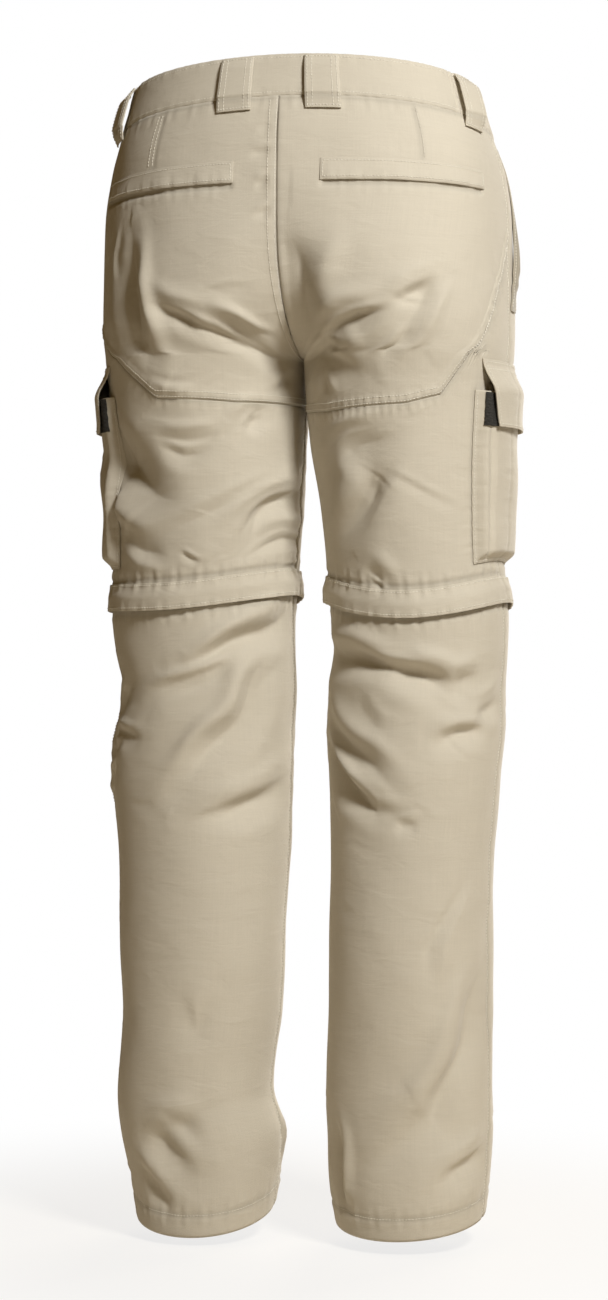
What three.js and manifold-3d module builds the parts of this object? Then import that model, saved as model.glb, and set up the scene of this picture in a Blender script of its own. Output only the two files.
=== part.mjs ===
// Zip-off cargo trousers, filled out as when worn.
// Millimetres, +Z up. The front faces -Y and the wearer's left leg is on +X.
// The origin is the middle of the waistband ring, half way up the band at the side seams.
// A place on the cloth is a turn and a height. The turn is in degrees: 0 is the centre back seam
// or the inseam, 90 the back, 171 the side seam, 270 the front and 360 the centre front or inseam.

import * as THREE from 'three';
import { mergeVertices } from 'three/addons/utils/BufferGeometryUtils.js';
import Module from 'manifold-3d';

// Cloth and seams
const WALL = 1.6;
const BAND_WALL = 2.4;
const SEAM_GAP = 0.3;
const CENTRE_GAP = 0.4;
const SEWN_LIFT = 0.5;
const CLOTH_PER_TURN = 520;

// Heights of the cut
const BAND_TOP = 19;
const BAND_FOOT = -19;
const WELT_TOP = -67;
const WELT_FOOT = -83;
const FORK = -228;
const FLAP_TOP = -234;
const POUCH_MOUTH = -262;
const FLAP_FOOT = -293;
const POUCH_FOOT = -418;
const KNEE_BAND_TOP = -432;
const THIGH_FOOT = -444;
const KNEE_BAND_FOOT = -457;
const HEM = -1014;

// Turns of the cut
const CENTRE = 0;
const WELT_INNER = 25;
const WELT_OUTER = 130;
const POUCH_BACK = 141;
const FLAP_BACK = 150;
const PATCH_FRONT = 160;
const SIDE_SEAM = 171;
const FLAP_FRONT = 240;
const POUCH_FRONT = 248;
const FULL_TURN = 360;

// How the two halves grow together above the fork
const MERGE_RISE = 200;
const MERGE_POWER = 3.7;

// Turns rows of plain values into objects with named fields.
const named = (columns, rows) => rows.map((row) => (
  Object.fromEntries(columns.map((name, place) => [name, row[place]]))));

// One row for each level section: the reach from the middle plane out to the outer and in to the
// inner side of the left and the right half, the depths behind and before the section's middle,
// how far back the middle lies, and how square the corners are.
const SECTION_COLUMNS = ['height', 'outerLeft', 'innerLeft', 'outerRight', 'innerRight',
  'back', 'front', 'middle', 'square'];
const SECTIONS = named(SECTION_COLUMNS, [
  [38, 159, 0, 159, 0, 110, 103, 0, 0.07],
  [8, 165, 0, 165, 0, 113, 106, 0, 0.07],
  [-22, 174, 0, 174, 0, 118, 109, 0, 0.065],
  [-52, 182, 0, 183, 0, 124, 111, 0, 0.06],
  [-92, 189, 0, 189, 0, 129, 113, 0, 0.05],
  [-142, 190, 0, 191, 0, 131, 113, 1, 0.04],
  [-192, 190, 0, 192, 0, 126, 112, 1, 0.03],
  [-228, 188, 0.2, 192, 0.2, 112, 106, 1, 0.02],
  [-254, 187, 1.4, 189, 1.6, 104, 101, 1, 0.015],
  [-309, 185, 3.2, 185, 4.4, 97, 97, 0, 0.01],
  [-365, 184, 6, 183, 13.7, 92, 93, -2, 0.01],
  [-421, 186, 11, 182, 19.3, 86, 89, -4, 0.01],
  [-458, 187, 13.5, 186, 21.3, 83, 87, -5, 0.01],
  [-495, 184, 14.5, 186, 23.5, 81, 85, -5, 0.01],
  [-532, 177, 14, 184, 20.5, 80, 83, -5, 0.01],
  [-569, 184, 15.5, 184, 18.8, 79, 81, -4, 0.01],
  [-607, 187, 15.5, 180, 21.5, 79, 79, -3, 0.01],
  [-644, 184, 17.5, 177, 22.5, 78, 77, -2, 0.01],
  [-681, 181, 18, 174, 22.5, 78, 76, -1, 0.01],
  [-755, 177, 21.5, 173, 22.1, 77, 74, 1, 0.01],
  [-830, 175, 26, 173, 22.1, 75, 72, 3, 0.01],
  [-904, 180, 33.5, 174, 19.3, 73, 71, 4, 0.01],
  [-941, 176, 23.5, 173, 21.1, 72, 71, 4, 0.01],
  [-979, 166, 26.5, 170, 23.5, 70, 70, 4, 0.01],
  [-1016, 161, 32.5, 167, 29, 68, 70, 4, 0.01],
  [-1037, 160, 34, 166, 29.5, 67, 70, 4, 0.01],
]);

// One row for each line of the cut that doesn't run level: over which heights it acts, and how
// far it is raised at the back, at the outer side, at back and front together, and all round.
const TILT_COLUMNS = ['half', 'height', 'above', 'below', 'back', 'outer', 'bow', 'all'];
const TILTS = named(TILT_COLUMNS, [
  ['left', -17, 1e6, 95, 15, 0, -4, -1],
  ['right', -17, 1e6, 95, 15, 0, -4, -1],
  ['left', -444, 110, 110, 5, -8, 5, 0],
  ['right', -444, 110, 110, 4, -0.5, 9.5, -4],
  ['left', -1002, 110, 1e6, -18, -1, 0, 0],
  ['right', -1002, 110, 1e6, -13, 3, 0, 0],
]);

// One row for each large fold: a soft trough, or a ridge where the depth is positive.
const FOLD_COLUMNS = ['half', 'fromTurn', 'fromHeight', 'toTurn', 'toHeight', 'halfWidth', 'depth'];
const FOLDS = named(FOLD_COLUMNS, [
  // seat and thigh, left
  ['left', 88, -178, 55, -208, 22, -6],
  ['left', 60, -204, 14, -226, 20, -6],
  ['left', 86, -112, 90, -196, 26, -4],
  ['left', 118, -236, 70, -247, 18, 4],
  ['left', 38, -270, 60, -304, 18, -4],
  ['left', 110, -303, 74, -306, 18, -4],
  ['left', 94, -342, 130, -346, 22, -5],
  ['left', -4, -332, 66, -402, 24, -7],
  ['left', -10, -386, 60, -410, 18, -4],
  // seat and thigh, right
  ['right', 74, -192, 28, -222, 22, -6],
  ['right', 100, -164, 72, -188, 20, -4],
  ['right', 97, -170, 97, -214, 20, -3],
  ['right', 34, -226, 76, -246, 18, -6],
  ['right', 102, -288, 52, -326, 20, -4],
  ['right', 88, -312, 43, -396, 24, -6],
  ['right', 68, -408, 90, -432, 16, -4],
  // lower leg, left
  ['left', 0, -462, 86, -506, 20, -7],
  ['left', 44, -510, 112, -544, 20, -5],
  ['left', 28, -490, 90, -626, 24, -7],
  ['left', 4, -608, 86, -656, 22, -6],
  ['left', 163, -560, 163, -612, 20, -4],
  ['left', 94, -808, 76, -830, 18, -3],
  ['left', 76, -830, 56, -808, 18, -3],
  ['left', 114, -934, 70, -914, 20, -5],
  ['left', 114, -934, 76, -952, 18, -5],
  ['left', 130, -964, 98, -980, 18, -4],
  // lower leg, right
  ['right', 12, -492, 84, -499, 22, -9],
  ['right', 80, -498, 124, -526, 22, -9],
  ['right', 116, -524, 146, -514, 20, -6],
  ['right', 12, -568, 70, -605, 22, -7],
  ['right', 66, -603, 102, -630, 20, -7],
  ['right', 108, -575, 158, -567, 18, -4],
  ['right', 138, -549, 171, -534, 18, -4],
  ['right', 162, -790, 136, -868, 22, -6],
  ['right', 138, -862, 114, -918, 22, -7],
  ['right', 116, -914, 70, -950, 20, -6],
  ['right', 170, -942, 112, -968, 20, -5],
  ['right', 34, -920, 48, -990, 20, -5],
  // front
  ['left', 345, -190, 290, -222, 22, -5],
  ['left', 230, -170, 280, -206, 22, -4],
  ['left', 350, -300, 280, -345, 22, -5],
  ['left', 235, -505, 318, -525, 22, -6],
  ['left', 350, -590, 280, -640, 22, -5],
  ['left', 240, -930, 300, -955, 22, -5],
  ['right', 348, -184, 296, -226, 22, -5],
  ['right', 226, -160, 272, -202, 22, -4],
  ['right', 345, -320, 285, -372, 22, -5],
  ['right', 230, -520, 315, -500, 22, -6],
  ['right', 352, -615, 290, -650, 22, -5],
  ['right', 238, -905, 305, -940, 22, -5],
]);

// The lowest line of the seat, which climbs to the side seam.
const SEAM_COLUMNS = ['turn', 'height'];
const SEAT_SEAM = {
  left: named(SEAM_COLUMNS, [
    [0, -270], [60, -271], [104, -267], [123, -243], [146, -212], [176, -188]]),
  right: named(SEAM_COLUMNS, [
    [0, -276], [50, -280], [100, -276], [120, -268], [136, -230], [150, -176], [176, -108]]),
};

// Every piece that follows the cloth shares these turns and heights.
const TURNS = [CENTRE, 12, WELT_INNER, 42, 60, 78, 96, 113, WELT_OUTER, POUCH_BACK, FLAP_BACK,
  PATCH_FRONT, SIDE_SEAM, 190, 207, 224, FLAP_FRONT, POUCH_FRONT, 270, 300, 330, FULL_TURN];
const HEIGHTS = [BAND_FOOT, -43, WELT_TOP, WELT_FOOT, -104, -126, -148, -168, -186, -200, -212,
  -220, -225, FORK, FLAP_TOP, -248, POUCH_MOUTH, -277, FLAP_FOOT, -315, -340, -366, -392,
  POUCH_FOOT, KNEE_BAND_TOP, THIGH_FOOT, KNEE_BAND_FOOT, -478, -498, -518, -540, -562, -584,
  -606, -630, -656, -686, -718, -752, -786, -818, -850, -880, -908, -932, -954, -976, -996, HEM];

const HALVES = ['left', 'right'];
const signOf = (half) => (half === 'left' ? 1 : -1);
const lerp = THREE.MathUtils.lerp;
const smooth = (x, low, high) => THREE.MathUtils.smoothstep(x, low, high);

const wasm = await Module();
wasm.setup();

const group = new THREE.Group();

// Finish of each kind of piece
const FINISH = {
  cloth: { color: 0xc9bda4, roughness: 0.82, metalness: 0 },
  lining: { color: 0x8f8674, roughness: 0.9, metalness: 0 },
  fastener: { color: 0x15130f, roughness: 0.95, metalness: 0 },
  zip: { color: 0xa2967c, roughness: 0.6, metalness: 0 },
  button: { color: 0x6e6350, roughness: 0.45, metalness: 0 },
};

function addPiece(name, geometry, finish) {
  const piece = new THREE.Mesh(geometry, new THREE.MeshStandardMaterial(FINISH[finish]));
  piece.name = name;
  group.add(piece);
  return piece;
}

// A section's sizes at any height, on a smooth curve through the rows of the table.
function sectionAt(height) {
  const last = SECTIONS.length - 1;
  const clamped = THREE.MathUtils.clamp(height, SECTIONS[last].height, SECTIONS[0].height);
  let upper = 0;
  while (upper < last - 1 && SECTIONS[upper + 1].height > clamped) upper += 1;
  const rows = [upper - 1, upper, upper + 1, upper + 2]
    .map((row) => SECTIONS[THREE.MathUtils.clamp(row, 0, last)]);
  const span = rows[1].height - rows[2].height;
  const part = (rows[1].height - clamped) / span;
  const slope = (a, b, name) => (b[name] - a[name]) / Math.max(a.height - b.height, 1);
  const section = {};
  for (const name of SECTION_COLUMNS.slice(1)) {
    const start = slope(rows[0], rows[2], name) * span;
    const end = slope(rows[1], rows[3], name) * span;
    section[name] = (2 * part ** 3 - 3 * part ** 2 + 1) * rows[1][name]
      + (part ** 3 - 2 * part ** 2 + part) * start
      + (3 * part ** 2 - 2 * part ** 3) * rows[2][name] + (part ** 3 - part ** 2) * end;
  }
  return section;
}

// How far the cut's tilted lines raise a place.
function tiltAt(half, height, angle) {
  let raise = 0;
  for (const tilt of TILTS) {
    if (tilt.half !== half) continue;
    const away = height - tilt.height;
    const share = 1 - smooth(Math.abs(away) / (away > 0 ? tilt.above : tilt.below), 0, 1);
    raise += share * (tilt.back * Math.sin(angle) + tilt.outer * Math.cos(angle)
      + tilt.bow * Math.cos(2 * angle) + tilt.all);
  }
  return raise;
}

// The smooth form. Each half is part of an ellipse; above the fork the ellipse is cut open at
// the middle plane, wider and wider, until the two halves make one oval at the waist.
function formPoint(half, turn, height) {
  const section = sectionAt(height);
  const left = half === 'left';
  const outer = left ? section.outerLeft : section.outerRight;
  const inner = left ? section.innerLeft : section.innerRight;
  const rise = height - FORK;
  const merge = rise > 0 ? THREE.MathUtils.clamp(1 - rise / MERGE_RISE, 0, 1) ** MERGE_POWER : 1;
  const reach = Math.sqrt(merge);
  const halfWidth = rise > 0 ? outer / (1 + reach) : (outer - inner) / 2;
  const centre = outer - halfWidth;
  const widest = Math.PI - Math.acos(Math.min(reach, 1));
  const angle = widest * (1 - 2 * turn / FULL_TURN);
  const corner = Math.abs(angle) < Math.PI / 2 ? 1 + section.square * Math.sin(2 * angle) ** 2 : 1;
  const depth = angle > 0 ? section.back : section.front;
  return new THREE.Vector3(
    signOf(half) * Math.max(centre + halfWidth * Math.cos(angle) * corner, 0),
    section.middle + depth * Math.sin(angle) * corner,
    height + tiltAt(half, height, angle),
  );
}

// A fold keeps this share of its depth at its ends, and reaches all of it this far along.
const FOLD_END_SHARE = 0.35;
const FOLD_RISE = 0.35;

// How far the large folds move the cloth in or out at a place.
function foldDepth(half, turn, height) {
  let depth = 0;
  for (const fold of FOLDS) {
    if (fold.half !== half) continue;
    for (const lap of (height < FORK ? [-FULL_TURN, 0, FULL_TURN] : [0])) {
      const scale = CLOTH_PER_TURN / FULL_TURN;
      const along = new THREE.Vector2((fold.toTurn - fold.fromTurn) * scale,
        fold.toHeight - fold.fromHeight);
      const away = new THREE.Vector2((turn + lap - fold.fromTurn) * scale,
        height - fold.fromHeight);
      const part = THREE.MathUtils.clamp(away.dot(along) / along.lengthSq(), 0, 1);
      const distance = away.addScaledVector(along, -part).length() / fold.halfWidth;
      if (distance >= 1) continue;
      const taper = lerp(FOLD_END_SHARE, 1, smooth(Math.min(part, 1 - part), 0, FOLD_RISE));
      depth += fold.depth * taper * (1 - distance ** 2) ** 2;
    }
  }
  return depth;
}

// Waistband, hem and knee seam hold the cloth, so the folds die out this far from them.
const BAND_HOLD = 45;
const HEM_HOLD = 30;
const KNEE_HOLD = 34;
const KNEE_SHARE = 0.35;

function foldShare(height) {
  const bandSide = smooth(BAND_FOOT - height, 0, BAND_HOLD);
  const hemSide = smooth(height - HEM, 0, HEM_HOLD);
  const kneeSide = lerp(KNEE_SHARE, 1, smooth(Math.abs(height - THIGH_FOOT), 0, KNEE_HOLD));
  return bandSide * hemSide * kneeSide;
}

// The cloth of one half as a lattice of outer points with their outward directions.
function makeLattice(half, turns, heights) {
  const grid = (make) => heights.map((height, row) => turns.map((turn, column) => (
    make(turn, height, row, column))));
  const form = grid((turn, height) => formPoint(half, turn, height));
  const closed = (row) => heights[row] <= FORK;
  const last = turns.length - 1;
  const normalsOf = (points) => grid((turn, height, row, column) => {
    const previous = column > 0 ? points[row][column - 1] : closed(row) && points[row][last - 1];
    const next = column < last ? points[row][column + 1] : closed(row) && points[row][1];
    const here = points[row][column];
    const along = new THREE.Vector3().subVectors(next || here, previous || here);
    const up = points[Math.max(row - 1, 0)][column];
    const down = points[Math.min(row + 1, heights.length - 1)][column];
    const normal = new THREE.Vector3().subVectors(down, up).cross(along).normalize();
    return normal.multiplyScalar(-signOf(half));
  });
  const base = normalsOf(form);
  const points = grid((turn, height, row, column) => {
    const depth = foldDepth(half, turn, height) * foldShare(height);
    const point = form[row][column].clone().addScaledVector(base[row][column], depth);
    point.x = signOf(half) * Math.max(signOf(half) * point.x, CENTRE_GAP / 2);
    return point;
  });
  return { half, turns, heights, points, normals: normalsOf(points) };
}

const lattices = Object.fromEntries(HALVES.map((half) => [half, makeLattice(half, TURNS, HEIGHTS)]));

// A closed wall between two grids of points with the same rows and columns.
function wallGeometry(outer, inner, mirrored) {
  const rows = outer.length;
  const columns = outer[0].length;
  const positions = [];
  for (const grid of [outer, inner]) {
    for (const row of grid) for (const point of row) positions.push(point.x, point.y, point.z);
  }
  const skin = rows * columns;
  const index = [];
  const quad = (a, b, c, d) => {
    if (mirrored) index.push(a, b, c, a, c, d);
    else index.push(a, c, b, a, d, c);
  };
  for (let row = 0; row < rows - 1; row += 1) {
    for (let column = 0; column < columns - 1; column += 1) {
      const a = row * columns + column;
      quad(a, a + columns, a + columns + 1, a + 1);
      quad(skin + a, skin + a + 1, skin + a + columns + 1, skin + a + columns);
    }
  }
  const foot = (rows - 1) * columns;
  for (let column = 0; column < columns - 1; column += 1) {
    quad(column, column + 1, skin + column + 1, skin + column);
    quad(foot + column + 1, foot + column, skin + foot + column, skin + foot + column + 1);
  }
  for (let row = 0; row < rows - 1; row += 1) {
    const a = row * columns;
    const b = a + columns - 1;
    quad(a + columns, a, skin + a, skin + a + columns);
    quad(b, b + columns, skin + b + columns, skin + b);
  }
  const geometry = new THREE.BufferGeometry();
  geometry.setAttribute('position', new THREE.Float32BufferAttribute(positions, 3));
  geometry.setIndex(index);
  geometry.computeVertexNormals();
  return geometry;
}

// Moves the outermost rows and columns of a grid inwards by half a seam gap.
function trimEdges(grid, sides) {
  const rows = grid.length;
  const columns = grid[0].length;
  const towards = (from, to) => new THREE.Vector3().subVectors(to, from)
    .setLength(SEAM_GAP / 2).add(from);
  const trimmed = grid.map((row) => row.map((point) => point.clone()));
  for (let row = 0; row < rows; row += 1) {
    if (sides.start) trimmed[row][0] = towards(grid[row][0], grid[row][1]);
    if (sides.end) trimmed[row][columns - 1] = towards(grid[row][columns - 1], grid[row][columns - 2]);
  }
  const level = trimmed.map((row) => row.map((point) => point.clone()));
  for (let column = 0; column < columns; column += 1) {
    if (sides.top) trimmed[0][column] = towards(level[0][column], level[1][column]);
    if (sides.foot) {
      trimmed[rows - 1][column] = towards(level[rows - 1][column], level[rows - 2][column]);
    }
  }
  return trimmed;
}

const ALL_SIDES = { start: true, end: true, top: true, foot: true };

// A wall over part of the lattice. Its outer side stands off by the lift, which may change from
// place to place, plus the wall where the piece lies on top of another one.
function latticePiece(lattice, from, to, options = {}) {
  const { lift = () => 0, wall = WALL, trim = {} } = options;
  const firstColumn = lattice.turns.indexOf(from.turn);
  const lastColumn = lattice.turns.indexOf(to.turn);
  const firstRow = lattice.heights.indexOf(from.height);
  const lastRow = lattice.heights.indexOf(to.height);
  const grid = (extra) => {
    const made = [];
    for (let row = firstRow; row <= lastRow; row += 1) {
      const line = [];
      for (let column = firstColumn; column <= lastColumn; column += 1) {
        const away = lift(lattice.turns[column], lattice.heights[row]) + extra;
        line.push(lattice.points[row][column].clone()
          .addScaledVector(lattice.normals[row][column], away));
      }
      made.push(line);
    }
    return trimEdges(made, trim);
  };
  return wallGeometry(grid(0), grid(-wall), lattice.half === 'right');
}

// A point of the cloth between the lattice points, and its outward direction.
function clothAt(lattice, turn, height) {
  const { turns, heights, points, normals } = lattice;
  let column = 0;
  while (column < turns.length - 2 && turns[column + 1] < turn) column += 1;
  let row = 0;
  while (row < heights.length - 2 && heights[row + 1] > height) row += 1;
  const across = (turn - turns[column]) / (turns[column + 1] - turns[column]);
  const down = (heights[row] - height) / (heights[row] - heights[row + 1]);
  const blend = (grid) => {
    const upper = grid[row][column].clone().lerp(grid[row][column + 1], across);
    const lower = grid[row + 1][column].clone().lerp(grid[row + 1][column + 1], across);
    return upper.lerp(lower, down);
  };
  return { point: blend(points), normal: blend(normals).normalize() };
}

// A strip on the cloth with its own turns and heights; place(a, b) gives turn, height and lift.
function stripPiece(lattice, across, down, place, wall = WALL) {
  const grid = (extra) => down.map((b) => across.map((a) => {
    const { turn, height, lift } = place(a, b);
    const { point, normal } = clothAt(lattice, turn, height);
    return point.addScaledVector(normal, lift + extra);
  }));
  return wallGeometry(grid(wall), grid(0), lattice.half === 'right');
}

// Evenly spaced values from start to end.
const range = (start, end, steps) => Array.from({ length: steps + 1 },
  (unused, step) => lerp(start, end, step / steps));

// Waistband, with the gathers that an elastic makes at each side of the back
const BAND_LIFT = 0.8;
const GATHER_START = 112;
const GATHER_END = 160;
const GATHERS = 11;
const GATHER_DEPTH = 1.1;
const GATHER_FADE = 0.4;
const PLAIN_STEPS = 8;
const FRONT_STEPS = 10;
const BAND_LEVELS = [BAND_TOP, 0, BAND_FOOT];
const BAND_PROBE = 0.5;

function gatherLift(turn) {
  if (turn < GATHER_START || turn > GATHER_END) return 0;
  const part = (turn - GATHER_START) / (GATHER_END - GATHER_START);
  const fade = smooth(Math.sin(Math.PI * part), 0, GATHER_FADE);
  return -GATHER_DEPTH * fade * Math.sin(Math.PI * GATHERS * part) ** 2;
}

// A point beside the band's form, which is straight between the shared turns as the panels are.
function bandPoint(half, turn, height, away) {
  let column = 0;
  while (column < TURNS.length - 2 && TURNS[column + 1] < turn) column += 1;
  const start = formPoint(half, TURNS[column], height);
  const end = formPoint(half, TURNS[column + 1], height);
  const part = (turn - TURNS[column]) / (TURNS[column + 1] - TURNS[column]);
  const before = formPoint(half, Math.max(turn - BAND_PROBE, 0), height);
  const after = formPoint(half, Math.min(turn + BAND_PROBE, FULL_TURN), height);
  const outward = new THREE.Vector3(before.y - after.y, after.x - before.x, 0).normalize()
    .multiplyScalar(signOf(half));
  return start.lerp(end, part).addScaledVector(outward, away);
}

function bandGeometry(stations) {
  const grid = (extra) => BAND_LEVELS.map((height) => stations.map(({ half, turn }) => (
    bandPoint(half, turn, height, BAND_LIFT + gatherLift(turn) + extra))));
  const trim = { start: true, end: true, foot: true };
  return wallGeometry(trimEdges(grid(0), trim), trimEdges(grid(-BAND_WALL), trim), false);
}

function addWaistband() {
  const plain = range(CENTRE, GATHER_START, PLAIN_STEPS);
  const gathered = range(GATHER_START, GATHER_END, 2 * GATHERS).slice(1);
  const side = [...plain, ...gathered, SIDE_SEAM];
  const back = [
    ...side.slice(1).reverse().map((turn) => ({ half: 'right', turn })),
    ...side.map((turn) => ({ half: 'left', turn })),
  ];
  addPiece('waistband_back', bandGeometry(back), 'cloth');
  const front = range(SIDE_SEAM, FULL_TURN, FRONT_STEPS);
  addPiece('waistband_front_left', bandGeometry(
    front.map((turn) => ({ half: 'left', turn }))), 'cloth');
  addPiece('waistband_front_right', bandGeometry(
    [...front].reverse().map((turn) => ({ half: 'right', turn }))), 'cloth');
}

// Back and front panels
const KNIFE_REACH = 6;
const KNIFE_OVERRUN = 6;
const KNIFE_STEPS = 17;

// The seat seam's height at a turn, on straight stretches between the rows of its table.
function seatSeamAt(half, turn) {
  const seam = SEAT_SEAM[half];
  let step = 0;
  while (step < seam.length - 2 && seam[step + 1].turn < turn) step += 1;
  const [from, to] = [seam[step], seam[step + 1]];
  const part = THREE.MathUtils.clamp((turn - from.turn) / (to.turn - from.turn), 0, 1);
  return lerp(from.height, to.height, part);
}

// A thin sheet that stands on the cloth along the seat seam.
function seatKnife(half) {
  const turns = range(-KNIFE_OVERRUN, SIDE_SEAM + KNIFE_OVERRUN, KNIFE_STEPS);
  const grid = (away) => [0, -SEAM_GAP].map((drop) => turns.map((turn) => {
    const lap = turn < 0 ? FULL_TURN : 0;
    const { point, normal } = clothAt(lattices[half], turn + lap, seatSeamAt(half, turn) + drop);
    return point.addScaledVector(normal, away);
  }));
  return wallGeometry(grid(KNIFE_REACH), grid(-KNIFE_REACH), half === 'right');
}

function toSolid(geometry) {
  const bare = geometry.clone();
  bare.deleteAttribute('normal');
  const merged = mergeVertices(bare);
  return new wasm.Manifold(new wasm.Mesh({
    numProp: 3,
    vertProperties: Float32Array.from(merged.attributes.position.array),
    triVerts: Uint32Array.from(merged.index.array),
  }));
}

function toGeometry(solid) {
  const mesh = solid.getMesh();
  const geometry = new THREE.BufferGeometry();
  geometry.setAttribute('position', new THREE.Float32BufferAttribute(mesh.vertProperties, 3));
  geometry.setIndex([...mesh.triVerts]);
  geometry.computeVertexNormals();
  return geometry;
}

// The back of each half is one wall, cut along the seat seam into seat and thigh.
function addBack(half) {
  const back = latticePiece(lattices[half], { turn: CENTRE, height: BAND_FOOT },
    { turn: SIDE_SEAM, height: THIGH_FOOT }, { trim: ALL_SIDES });
  const cut = toSolid(back).subtract(toSolid(seatKnife(half)));
  const parts = cut.decompose().sort((a, b) => b.boundingBox().max[2] - a.boundingBox().max[2]);
  addPiece(`back_seat_${half}`, toGeometry(parts[0]), 'cloth');
  addPiece(`back_thigh_${half}`, toGeometry(parts[1]), 'cloth');
}

function addFront(half) {
  addPiece(`front_${half}`, latticePiece(lattices[half], { turn: SIDE_SEAM, height: BAND_FOOT },
    { turn: FULL_TURN, height: THIGH_FOOT }, { trim: ALL_SIDES }), 'cloth');
}

function addLowerLeg(half) {
  const trim = { start: true, end: true, top: true };
  addPiece(`lower_back_${half}`, latticePiece(lattices[half],
    { turn: CENTRE, height: KNEE_BAND_FOOT }, { turn: SIDE_SEAM, height: HEM }, { trim }), 'cloth');
  addPiece(`lower_front_${half}`, latticePiece(lattices[half],
    { turn: SIDE_SEAM, height: KNEE_BAND_FOOT }, { turn: FULL_TURN, height: HEM }, { trim }), 'cloth');
}

// The knee zip joins thigh and lower leg, and a band sewn to the thigh hangs over it.
const KNEE_BAND_STAND = 3.2;
const ZIP_WALL = 2;

function addKnee(half) {
  addPiece(`knee_zip_${half}`, latticePiece(lattices[half],
    { turn: CENTRE, height: THIGH_FOOT }, { turn: FULL_TURN, height: KNEE_BAND_FOOT },
    { wall: ZIP_WALL, trim: ALL_SIDES }), 'zip');
  const lift = (turn, height) => WALL + (height === KNEE_BAND_TOP ? SEWN_LIFT : KNEE_BAND_STAND);
  addPiece(`knee_band_${half}`, latticePiece(lattices[half],
    { turn: CENTRE, height: KNEE_BAND_TOP }, { turn: FULL_TURN, height: KNEE_BAND_FOOT },
    { lift, trim: { start: true, end: true } }), 'cloth');
}

// Back pockets: only the welt strip over each mouth shows.
const WELT_STAND = 2;

function addBackWelt(half) {
  const lift = (turn, height) => WALL + (height === WELT_TOP ? SEWN_LIFT : WELT_STAND);
  addPiece(`back_pocket_welt_${half}`, latticePiece(lattices[half],
    { turn: WELT_INNER, height: WELT_TOP }, { turn: WELT_OUTER, height: WELT_FOOT }, { lift }), 'cloth');
}

// Cargo pockets: a pouch sewn on along three edges and open at its mouth, a patch of
// hook-and-loop tape on its back corner, and a flap that stands off over both.
const POUCH_STAND = 7.2;
const POUCH_SAG = 1;
const PATCH_WALL = 1.2;
const FLAP_STAND = 11.2;
const FLAP_SHOULDER = 3;

function pouchLift(turn, height) {
  if (turn === POUCH_BACK || turn === POUCH_FRONT || height === POUCH_FOOT) return WALL + SEWN_LIFT;
  const sag = POUCH_SAG * Math.sin(Math.PI * (height - POUCH_FOOT) / (POUCH_MOUTH - POUCH_FOOT));
  return WALL + POUCH_STAND + sag;
}

function flapLift(turn, height) {
  if (height === FLAP_TOP) return WALL + SEWN_LIFT;
  return WALL + FLAP_STAND - (height > POUCH_MOUTH ? FLAP_SHOULDER : 0);
}

function addCargoPocket(half) {
  const lattice = lattices[half];
  addPiece(`cargo_pouch_${half}`, latticePiece(lattice, { turn: POUCH_BACK, height: POUCH_MOUTH },
    { turn: POUCH_FRONT, height: POUCH_FOOT }, { lift: pouchLift }), 'cloth');
  addPiece(`cargo_tape_${half}`, latticePiece(lattice, { turn: POUCH_BACK, height: POUCH_MOUTH },
    { turn: PATCH_FRONT, height: FLAP_FOOT },
    { lift: (turn, height) => pouchLift(turn, height) + SEWN_LIFT + PATCH_WALL, wall: PATCH_WALL },
  ), 'fastener');
  addPiece(`cargo_flap_${half}`, latticePiece(lattice, { turn: FLAP_BACK, height: FLAP_TOP },
    { turn: FLAP_FRONT, height: FLAP_FOOT }, { lift: flapLift }), 'cloth');
}

// Slanted facing of each front pocket; its mouth gapes towards the side seam.
const STRIP_STEPS = 10;
const SLANT_STEPS = 2;
const SLANT_WIDTH = 20;
const SLANT_TOP = { turn: 214, height: -24 };
const SLANT_FOOT = { turn: 181, height: -186 };
const SLANT_SEAT = 0.9;
const SLANT_GAPE = 6;
const SLANT_SAG = 2;

function addFrontPocket(half) {
  const width = SLANT_WIDTH * FULL_TURN / CLOTH_PER_TURN;
  const place = (a, b) => ({
    turn: lerp(SLANT_TOP.turn, SLANT_FOOT.turn, b) + width * (a - 0.5),
    height: lerp(SLANT_TOP.height, SLANT_FOOT.height, b),
    lift: SLANT_SEAT + SLANT_GAPE * Math.sin(Math.PI * b ** SLANT_SAG) ** 2 * (1 - a),
  });
  addPiece(`front_pocket_facing_${half}`, stripPiece(lattices[half],
    range(0, 1, SLANT_STEPS), range(0, 1, STRIP_STEPS), place), 'lining');
}

// Belt loops stand off the waistband so that a belt passes under them.
const LOOP_WIDTH = 21;
const LOOP_SEAT = 0.9;
const LOOP_STEPS = 2;
const LOOP_LEVELS = named(['height', 'share'],
  [[17, 0], [13, 0.45], [8, 0.9], [0, 1], [-8, 1], [-17, 0.95], [-23, 0.7], [-30, 0]]);
const LOOPS = named(['place', 'start', 'stand'],
  [['centre', 16, 8.5], ['side', 118, 10], ['front', 232, 10]]);

function addBeltLoop(half, { place, start, stand }) {
  const turns = range(start, start + LOOP_WIDTH, LOOP_STEPS);
  const grid = (extra) => LOOP_LEVELS.map(({ height, share }) => turns.map((turn) => {
    const seat = height > BAND_FOOT ? BAND_LIFT : 0;
    return bandPoint(half, turn, height, seat + LOOP_SEAT + share * stand + extra);
  }));
  addPiece(`belt_loop_${place}_${half}`, wallGeometry(grid(WALL), grid(0), half === 'right'), 'cloth');
}

// The fly is a stitched strip on the left front, and a button closes the band above it.
const FLY_WIDTH = 26;
const FLY_FOOT = -178;
const FLY_EDGE = 359;
const FLY_CURVE = 0.85;
const FLY_LIFT = 1.2;
const FLY_STEPS = 3;
const BUTTON_RADIUS = 8.5;
const BUTTON_SIDES = 24;
const BUTTON_HEIGHT = 3;
const BUTTON_TURN = 347;
const BUTTON_SEAT = 0.9;

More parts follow.
